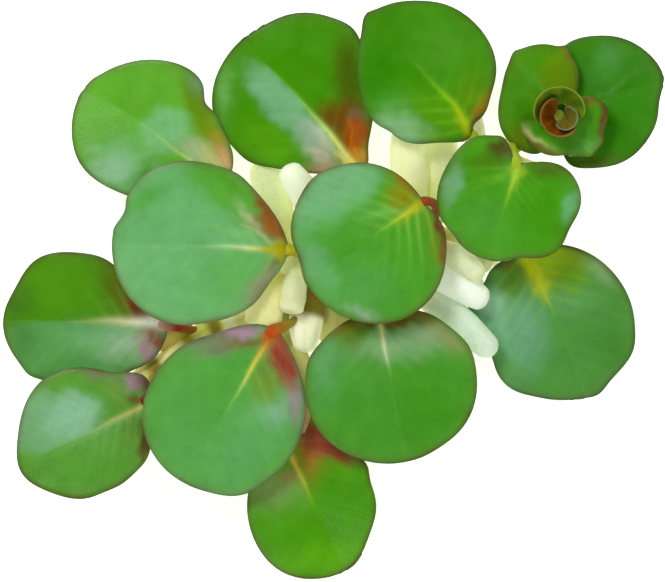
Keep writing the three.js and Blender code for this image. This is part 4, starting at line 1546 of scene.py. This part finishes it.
            rib=(0.1, 0.3, 0.2, 0.0), flare=0.5, rim="#3c4c28",
            midrib_reach=0.52, midrib_width=0.9, vein="#a4c418", vein_share=0.45,
            waves=(
                Wave(-61, 20, 1.3), Wave(5, 45, -0.6), Wave(115, 45, -0.5), Wave(-122, 14, 1.2),
                Wave(8, 10, 0.9), Wave(-141, 8, -0.9), Wave(-88, 12, -0.7), Wave(48, 14, 0.6),
            ),
            tints=(
                Tint((14.6, -7.6), (8.6, 6.2), -20, "#70ac80", 0.9, 3, Side.RIGHT),
                Tint((12.4, 4.0), (3.6, 5.4), -20, "#68a468", 0.6, 2, Side.LEFT),
                Tint((7.4, -9.4), (2.6, 2.4), -20, "#8cb494", 0.7, 2, Side.RIGHT),
                # The yellow-green fan and midrib tints at the base are the leaf's own colour, lightened
                # beyond it to lift the shade of leaf_inner_right: partly painted light. The dark olive
                # #5e5404 beside them is painted shade
                Tint((4.4, 4.6), (4.8, 6.0), -24, "#9cc000", 0.95, 3, Side.LEFT),
                Tint((4.2, -0.2), (5.2, 2.0), 4, "#ccd408", 1, 3),
                Tint((0.8, -5.2), (1.8, 3.0), -30, "#5e5404", 0.9, 3, Side.RIGHT),
                Tint((8.6, 6.2), (3.6, 3.6), 20, "#5a9c18", 0.7, 2, Side.LEFT),
                Tint((25.6, 8.6), (4.4, 4.4), -50, "#3a8018", 0.6, 2, Side.LEFT),
                Tint((9.6, 12.4), (4.0, 1.6), 26, "#8cae7c", 0.6, 2, Side.LEFT),
                Tint((2.2, 8.4), (4.4, 1.0), 60, "#8a6a1c", 0.8, 2, Side.LEFT),
                Tint((19.6, -12.2), (4.0, 1.6), 14, "#54a240", 0.5, 2, Side.RIGHT),
                Tint((4.4, -4.6), (3.4, 2.2), -40, "#5e8c08", 0.8, 2, Side.RIGHT),
                Tint((8.4, -11.2), (5.0, 2.4), -8, "#94c8a0", 0.8, 3, Side.RIGHT),
            ),
        ),
    ),
    Leaf(
        "leaf_top_right", ((25.9, 19.6, 8.8), (27.2, 25.3, 13.8), (28.3, 30.2, 16.8)),
        heading=130, length=32.6, halves=(13.3, 14.3), base=(0.76, 0.62), tip=(0.8, 0.5),
        pitch=(8, 0), roll=-2, fold=5, cup=-0.7,
        look=Look(
            "#3d9000", midrib=("#a8b800", "#a4c40c", "#8cc818", "#74bc20"),
            petiole=("#a0a030", "#8ca400", "#9aa804"),
            rib=(0.0, -1.2, -0.7, -0.1, 0.0), flare=0.6, rim="#3c4c14",
            midrib_reach=0.75, midrib_width=1.5, vein="#84c02c", vein_share=0.35,
            waves=(
                Wave(-113, 35, 1.1), Wave(4, 8, 0.8), Wave(108, 10, -0.6), Wave(-36, 22, -0.7),
                Wave(-150, 20, -0.9), Wave(155, 18, -0.9), Wave(-174, 9, -1.3), Wave(-170, 10, -0.8),
            ),
            tints=(
                Tint((18.6, -7.0), (6.8, 5.0), 20, "#529c26", 0.7),
                Tint((11.0, 9.6), (6.0, 3.4), 38, "#86bc80", 0.95, 5, Side.LEFT),
                Tint((16.2, 8.6), (2.6, 4.4), -30, "#64aa4c", 0.6, 2, Side.LEFT),
                Tint((23.4, 6.6), (6.8, 4.0), -36, "#2f8600", 0.8, 3, Side.LEFT),
                Tint((9.0, 2.4), (6.0, 3.4), 14, "#5aa000", 0.8, 3, Side.LEFT),
                Tint((7.0, -4.4), (5.0, 3.0), -44, "#649400", 0.8, 2, Side.RIGHT),
                Tint((3.4, -4.8), (4.4, 1.3), -62, "#a8700c", 0.9, 2, Side.RIGHT),
                Tint((2.9, -0.1), (3.2, 1.4), -10, "#94ac02", 1, 3),
                Tint((7.0, 6.8), (2.4, 1.4), 30, "#66a200", 0.6, 2, Side.LEFT),
                Tint((28.0, -1.0), (4.4, 5.0), 0, "#3a8602", 0.5),
            ),
        ),
    ),
    Leaf(
        "leaf_inner_right", ((35.9, 28.1, 10.6), (35.3, 29.0, 15.4), (35.7, 28.3, 19.6), (36.4, 25.2, 21.6)),
        heading=250.5, length=19.9, halves=(15.0, 13.2), base=(0.4, 0.4), tip=(0.5, 0.5),
        lobes=(8, 11), pitch=(4, -14), roll=-4, fold=4, cup=-0.8,
        look=Look(
            "#459c10", midrib=("#b0d83c", "#80c430"),
            petiole=("#9aa838", "#90aa20", "#a0bc20"),
            rib=(0.5, 0.7, 0.6, 0.3), flare=0.5, girth=1.3, rim="#4c5018",
            midrib_reach=0.62, midrib_width=1.0, vein="#7cc03c", vein_share=0.25,
            waves=(
                Wave(108, 30, 1.2), Wave(96, 16, -1.6), Wave(42, 18, -1.3), Wave(-45, 15, -0.6),
                Wave(-165, 8, 1.6), Wave(-150, 12, -0.5),
            ),
            tints=(
                Tint((12.6, -2.6), (5.4, 6.4), -10, "#54a234", 0.75),
                Tint((7.8, -10.6), (4.8, 1.9), 6, "#70ac74", 0.95, 4, Side.RIGHT),
                Tint((4.4, 12.8), (3.2, 1.7), -4, "#6cb87c", 0.95, 4, Side.LEFT),
                Tint((-1.0, 6.6), (4.4, 1.9), -80, "#4c7010", 0.9, 2, Side.LEFT),
                Tint((-1.4, -4.0), (3.2, 2.0), -62, "#4a4408", 1, 3, Side.RIGHT),
                Tint((2.0, -6.4), (4.4, 2.2), -60, "#4c7c08", 0.8, 2, Side.RIGHT),
                Tint((6.0, 8.0), (4.8, 3.6), -50, "#3f9404", 0.7, 2, Side.LEFT),
                Tint((1.6, 0.8), (2.6, 1.4), 10, "#94c020", 0.95, 3),
                Tint((4.0, -3.0), (3.6, 0.8), -50, "#74b428", 0.5, 2, Side.RIGHT),
            ),
        ),
    ),
    Leaf(
        "tip_leaf_right", ((43.4, 33.8, 13.6), (45.2, 32.9, 14.8), (46.5, 34.2, 15.8)),
        heading=26, length=21.4, halves=(12.2, 11.4), base=(0.42, 0.42), tip=(0.56, 0.62),
        lobes=(6, 13), pitch=(8, 0), roll=0, fold=5, cup=-0.5,
        look=Look(
            "#37880a", midrib=("#6aa838", "#5aa030", "#4c9420"),
            petiole=("#8a9a28", "#7a9a20"),
            rim="#2f4414",
            midrib_reach=0.8, midrib_width=0.7, vein="#6aa840", vein_share=0.14,
            waves=(
                Wave(67, 45, 0.7), Wave(-110, 28, 1.3), Wave(-32, 23, -1.0), Wave(106, 20, 1.1),
                Wave(-158, 9, -1.4),
            ),
            tints=(
                Tint((13.0, 7.0), (3.6, 2.6), 20, "#5c9850", 0.6, 2, Side.LEFT),
                Tint((9.6, 5.0), (3.0, 4.0), 20, "#45962c", 0.6, 2, Side.LEFT),
                Tint((17.8, 3.0), (3.2, 3.6), -16, "#3c8424", 0.6, 2, Side.LEFT),
                Tint((7.2, -6.3), (7.2, 4.4), -26, "#2c7c00", 0.7, 2, Side.RIGHT),
                Tint((14.6, -3.6), (5.0, 2.6), -10, "#3a8c0a", 0.5, 2, Side.RIGHT),
                Tint((1.0, -9.9), (5.6, 1.0), -16, "#4c5c08", 0.8, 2, Side.RIGHT),
                Tint((10.0, 1.4), (6.0, 0.5), 8, "#5aa244", 0.5, 2, Side.LEFT),
            ),
        ),
        slot="young_leaf", mesh=YOUNG_LEAF_MESH,
    ),
    Leaf(
        "tip_leaf_left", ((44.7, 34.8, 15.6), (43.1, 36.3, 17.2), (44.0, 36.6, 18.2)),
        heading=124, length=13.4, halves=(9.9, 8.7), base=(0.38, 0.45), tip=(0.8, 0.5),
        lobes=(12, 3), pitch=(12, 2), roll=0, fold=7, cup=-0.4,
        look=Look(
            "#4a9406", midrib=("#86b440", "#5c9c20"),
            petiole=("#8a9a28", "#7a9a20"),
            rim="#40540c",
            midrib_reach=0.8, vein="#78a840", vein_share=0.16,
            waves=(
                Wave(119, 31, 3.2), Wave(107, 45, -1.6), Wave(-78, 7, 1.0), Wave(6, 13, 0.4),
                Wave(-58, 45, -0.3),
            ),
            tints=(
                Tint((5.0, -3.9), (4.6, 3.4), -50, "#6e9602", 0.9, 3, Side.RIGHT),
                Tint((5.6, -8.2), (3.8, 0.5), -4, "#9c5c14", 0.85, 2, Side.RIGHT),
                Tint((2.0, -6.0), (1.4, 2.4), 10, "#80900c", 0.7, 2, Side.RIGHT),
                Tint((-1.6, 9.6), (4.4, 1.6), -14, "#6e8404", 0.85, 2, Side.LEFT),
                Tint((-5.0, 10.4), (3.4, 1.6), 10, "#765c0c", 0.8, 2, Side.LEFT),
                Tint((5.4, 6.0), (4.8, 2.4), -34, "#3f9208", 0.6, 2, Side.LEFT),
                Tint((3.0, 2.4), (3.6, 1.2), 30, "#5ca41c", 0.5, 2, Side.LEFT),
            ),
        ),
        slot="young_leaf", mesh=YOUNG_LEAF_MESH,
    ),
    Leaf(
        "tip_leaf_front", ((44.9, 35.0, 16.6), (46.6, 33.3, 18.2), (46.0, 32.9, 19.4)),
        heading=313, length=6.6, halves=(8.8, 7.7), base=(0.36, 0.36), tip=(0.5, 0.5),
        lobes=(5, 12), pitch=(2, 6), roll=0, fold=24, cup=-0.6,
        look=Look(
            "#45980e", midrib=("#80b848", "#68a834"),
            petiole=("#8a9a28", "#7a9a20"),
            rim="#504c0c",
            midrib_reach=0.8, midrib_width=0.6, vein="#7cb450", vein_share=0.15,
            waves=(
                Wave(2, 22, 1.5), Wave(38, 22, 1.5), Wave(-80, 28, -2.4), Wave(-144, 22, 1.0),
            ),
            tints=(
                Tint((6.4, 0.6), (2.6, 2.0), 67, "#62ae46", 0.8),
                Tint((-2.6, -6.0), (4.0, 0.65), 10, "#bcc078", 0.9, 2, Side.RIGHT),
                Tint((-1.0, -7.0), (5.0, 0.6), 12, "#7c4a14", 0.8, 2, Side.RIGHT),
                Tint((4.0, 7.6), (5.6, 0.9), -50, "#5e3c08", 1, 2, Side.LEFT),
                Tint((-0.2, 7.4), (2.8, 1.3), 47, "#7a6210", 0.8, 2, Side.LEFT),
                Tint((1.0, -3.0), (2.6, 1.4), 0, "#50a018", 0.5, 2, Side.RIGHT),
            ),
        ),
        slot="young_leaf", mesh=YOUNG_LEAF_MESH,
    ),
)

# The pale rims of the outer and inner leaves are partly painted highlights along their curled edges, and the
# outer leaf's inside tone is lightened against the shade in its cup: painted light
BUD_LEAVES: tuple[BudLeaf, ...] = (
    BudLeaf(
        "bud_leaf_outer", 96, 104, (2.4, 5.4), (21.0, 26.4),
        "#4e8010", "#88a424", "#849428", (45.0, 35.1),
    ),
    BudLeaf(
        "bud_leaf_middle", 215, 112, (1.6, 4.2), (21.0, 26.0),
        "#9c5010", "#6c3c08", "#8c6c28", (45.4, 34.8),
    ),
    BudLeaf(
        "bud_leaf_inner", 330, 118, (0.6, 2.6), (21.0, 25.4),
        "#8c6418", "#74882a", "#7c8460", (46.0, 34.5),
    ),
)

FLOATS: tuple[Float, ...] = (
    Float(
        "float_left_a", ((-28.6, -6.6, 6.6), (-32.0, -8.4, 6.6), (-35.6, -11.2, 6.4)), 5.4, 0.55, stalk=0.6,
        tones=("#a0900c", "#d2bc60"),
    ),
    Float(
        "float_left_back_a", ((-9.4, 9.2, 6.0), (-11.4, 16.6, 6.2), (-14.6, 26.0, 6.6)), 7.2, 0.62, stalk=0.5,
        tones=("#dee094", "#e0ecb4"),
    ),
    Float(
        "float_left_back_b", ((-2.4, 11.4, 9.4), (-5.0, 18.0, 13.1), (-9.5, 24.9, 14.9)), 6.2, stalk=0.5,
        tones=("#d8e080", "#f4fde0"),
    ),
    Float(
        "float_middle_back_a", ((16.6, 14.0, 9.6), (15.4, 22.0, 10.6), (14.6, 33.0, 10.4)), 7.8, stalk=0.5,
        tones=("#e4ee90", "#fbffc8"),
    ),
    Float(
        "float_middle_back_b", ((18.4, 14.9, 6.6), (20.4, 22.0, 6.4), (21.6, 32.0, 8.0)), 8.4, stalk=0.5,
        tones=("#e0ec88", "#feffc8"),
    ),
    Float(
        "float_right_a", ((21.3, 12.0, 6.2), (25.9, 9.1, 8.8), (31.1, 4.3, 11.6)), 4.8, stalk=0.5,
        tones=("#c0c060", "#cad89a"),
    ),
    Float(
        "float_right_b", ((19.6, 9.6, 9.0), (24.6, 6.9, 13.0), (29.7, 2.6, 15.6)), 4.8, stalk=0.5,
        tones=("#e8dca0", "#dce4bc"),
    ),
    Float(
        "float_right_c", ((13.8, 5.6, 9.4), (22.0, 2.6, 11.6), (30.8, -2.4, 12.2)), 6.3, stalk=0.5,
        tones=("#e4e8b8", "#f2fdec"),
    ),
    Float(
        "float_right_d", ((12.4, 4.0, 6.6), (21.8, -3.4, 9.2), (32.3, -12.6, 11.6)), 6.5, stalk=0.5,
        tones=("#e0e4b0", "#d4e6d2"),
    ),
    Float(
        "float_right_e", ((20.5, 8.2, 6.3), (24.6, 4.4, 6.1), (29.6, -0.6, 6.2)), 5.6,
        tones=("#c0c060", "#e4e8b8"),
    ),
    Float(
        "float_front_a", ((-8.4, 5.6, 9.6), (-8.0, 0.6, 13.4), (-8.5, -4.6, 14.4)), 5.4, 0.55, stalk=0.8,
        tones=("#e0e498", "#dce0b0"),
    ),
    Float(
        "float_front_b", ((-11.6, 3.2, 11.0), (-13.2, -1.2, 12.0), (-14.2, -7.0, 11.4)), 7.4, 0.55, stalk=1.0,
        tones=("#e2de70", "#eae8a4"),
    ),
    # float_front_c's dark olive root tone is painted shade, where petioles and leaves above shadow it
    Float(
        "float_front_c", ((-2.4, 4.4, 5.4), (-5.2, -3.4, 8.4), (-5.8, -12.4, 10.0)), 7.0, 0.55,
        tones=("#7c7010", "#ffffdc"), turning=(0.56, 0.66),
    ),
    Float("float_under_a", ((-38.2, -14.8, 5.2), (-41.8, -13.6, 2.3), (-48.0, -12.4, 1.5)), 5.0),
    Float("float_under_b", ((-35.8, -18.2, 5.0), (-33.8, -21.2, 2.3), (-30.4, -26.0, 1.5)), 5.0),
    Float("float_under_c", ((-26.6, -6.2, 5.4), (-29.2, -3.4, 2.3), (-34.2, 1.0, 1.5)), 5.0),
    Float("float_under_d", ((-24.4, -10.4, 5.4), (-22.2, -13.6, 2.3), (-19.0, -19.0, 1.5)), 5.0),
    Float("float_under_e", ((-18.0, -2.9, 5.4), (-20.4, 0.8, 2.3), (-24.6, 6.8, 1.5)), 5.0),
    Float(
        "float_under_f", ((0.6, 6.4, 5.4), (1.2, 1.6, 3.4), (0.6, -11.6, 3.0)), 9.0, 0.7,
        tones=("#a89c30", "#ccc87c"),
    ),
    Float("float_under_g", ((-1.8, 10.6, 5.6), (-2.2, 15.0, 2.4), (-2.6, 23.0, 1.5)), 5.2),
    Float("float_under_h", ((6.6, 5.6, 5.6), (9.0, 0.8, 2.4), (11.8, -8.8, 1.5)), 5.2),
    Float("float_under_i", ((37.2, 26.4, 8.0), (40.0, 23.8, 3.6), (45.6, 20.2, 1.3)), 4.8, 0.65),
    Float("float_under_j", ((18.8, 9.4, 5.4), (19.8, 4.2, 2.3), (21.4, -5.6, 1.5)), 5.2),
    Float("float_under_k", ((35.2, 30.4, 8.2), (36.0, 34.4, 3.4), (37.8, 41.4, 1.3)), 4.8, 0.65),
    Float("float_under_l", ((27.0, 17.6, 6.2), (28.8, 13.2, 2.6), (32.4, 5.0, 1.5)), 5.2),
    Float("float_under_m", ((30.6, 22.2, 6.8), (34.2, 20.2, 2.8), (40.2, 15.8, 1.5)), 5.0),
    Float("float_under_n", ((28.2, 24.4, 6.6), (28.4, 28.4, 2.8), (28.4, 35.8, 1.5)), 4.4),
    Float("float_tip_a", ((43.0, 31.0, 11.2), (45.8, 29.2, 7.4), (48.4, 28.2, 4.6)), 3.4),
    Float("float_tip_b", ((41.0, 34.6, 10.6), (41.6, 37.4, 7.6), (43.0, 40.6, 4.8)), 3.4),
)


# The studio


@dataclass(frozen=True)
class Lamp:
    """A soft rectangular lamp, aimed at the plant. Its place and size are in metres."""

    name: str
    place: Point
    size: float
    power: float

    def build(self) -> None:
        """Hangs the lamp."""
        data = bpy.data.lights.new(self.name, "AREA")
        data.shape = "SQUARE"
        data.size = self.size
        data.energy = self.power
        lamp = bpy.data.objects.new(self.name, data)
        bpy.context.scene.collection.objects.link(lamp)
        lamp.location = self.place
        aim = -lamp.location
        lamp.rotation_euler = aim.to_track_quat("-Z", "Y").to_euler()


@dataclass(frozen=True)
class Studio:
    """A pale floor in soft light, seen from straight above."""

    floor_size: float = 8.0
    floor_gap: float = 0.00005  # between the floor and the plant, in metres
    floor_tone: str = "#fbfbf9"
    floor_roughness: float = 0.9
    floor_specular: float = 0.1
    floor_glow: float = 0.62
    sky: float = 0.58
    sky_overhead: float = 0.03  # of the dark patch of sky above the plant, which keeps glare off the leaves
    overhead_heights: Pair = (0.5, 0.85)  # where the sky begins to darken and where it is darkest, as sines
    view_width: float = 133.0  # of what the picture shows, in millimetres
    view_centre: Pair = (-0.2, -0.1)
    view_height: float = 14.0  # where that width is true
    distance: float = 2.5
    clip: Pair = (0.01, 50)
    lamps: tuple[Lamp, ...] = (
        Lamp("lamp_back_left", (-0.5, 0.75, 1.3), 0.5, 12.5),
        Lamp("lamp_right", (0.9, 0.1, 1.3), 0.5, 4.5),
        Lamp("lamp_front", (-0.25, -0.9, 1.3), 0.5, 4.5),
    )

    def floor(self) -> None:
        """Lays the floor just under the plant."""
        Workbench.clear()
        bpy.ops.mesh.primitive_plane_add(size=self.floor_size, location=(0, 0, -self.floor_gap))
        floor = bpy.context.object
        floor.name = "floor"
        material = bpy.data.materials.new("floor")
        material.use_nodes = True
        shader = material.node_tree.nodes["Principled BSDF"]
        shader.inputs["Base Color"].default_value = (*linear(self.floor_tone), 1)
        shader.inputs["Roughness"].default_value = self.floor_roughness
        shader.inputs["Specular IOR Level"].default_value = self.floor_specular
        shader.inputs["Emission Color"].default_value = (1, 1, 1, 1)
        shader.inputs["Emission Strength"].default_value = self.floor_glow
        floor.data.materials.append(material)

    def light(self) -> None:
        """Sets the sky and hangs the lamps."""
        world = bpy.data.worlds.new("sky")
        world.use_nodes = True
        nodes, links = world.node_tree.nodes, world.node_tree.links
        background = nodes["Background"]
        background.inputs["Color"].default_value = (1, 1, 1, 1)
        direction = nodes.new("ShaderNodeTexCoord")
        height = nodes.new("ShaderNodeSeparateXYZ")
        darkening = nodes.new("ShaderNodeMapRange")
        darkening.interpolation_type = "SMOOTHSTEP"
        values = self.overhead_heights + (self.sky, self.sky_overhead)
        for socket, value in zip(("From Min", "From Max", "To Min", "To Max"), values):
            darkening.inputs[socket].default_value = value
        links.new(direction.outputs["Generated"], height.inputs["Vector"])
        links.new(height.outputs["Z"], darkening.inputs["Value"])
        links.new(darkening.outputs["Result"], background.inputs["Strength"])
        bpy.context.scene.world = world
        for lamp in self.lamps:
            lamp.build()

    def camera(self) -> None:
        """Hangs the camera over the plant, with a long lens."""
        data = bpy.data.cameras.new("camera")
        data.lens = data.sensor_width * self.distance / (self.view_width * MM)
        data.clip_start, data.clip_end = self.clip
        camera = bpy.data.objects.new("camera", data)
        bpy.context.scene.collection.objects.link(camera)
        x, y = self.view_centre
        camera.location = (x * MM, y * MM, self.distance + self.view_height * MM)
        bpy.context.scene.camera = camera

    def build(self) -> None:
        """Sets up the studio."""
        self.floor()
        self.light()
        self.camera()
        bpy.context.scene.view_settings.view_transform = "Standard"


def main() -> None:
    """Builds the plant and the studio."""
    logging.basicConfig(level=logging.INFO, format="%(name)s: %(message)s")
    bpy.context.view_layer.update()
    Studio().build()
    finishes = Finishes()
    STEM.build(finishes)
    for number, leaf in enumerate(LEAVES):
        leaf.build(number, finishes)
    for bud_leaf in BUD_LEAVES:
        bud_leaf.build(finishes)
    for number, root in enumerate(FLOATS):
        root.build(number, finishes)


if __name__ == "__main__":
    main()
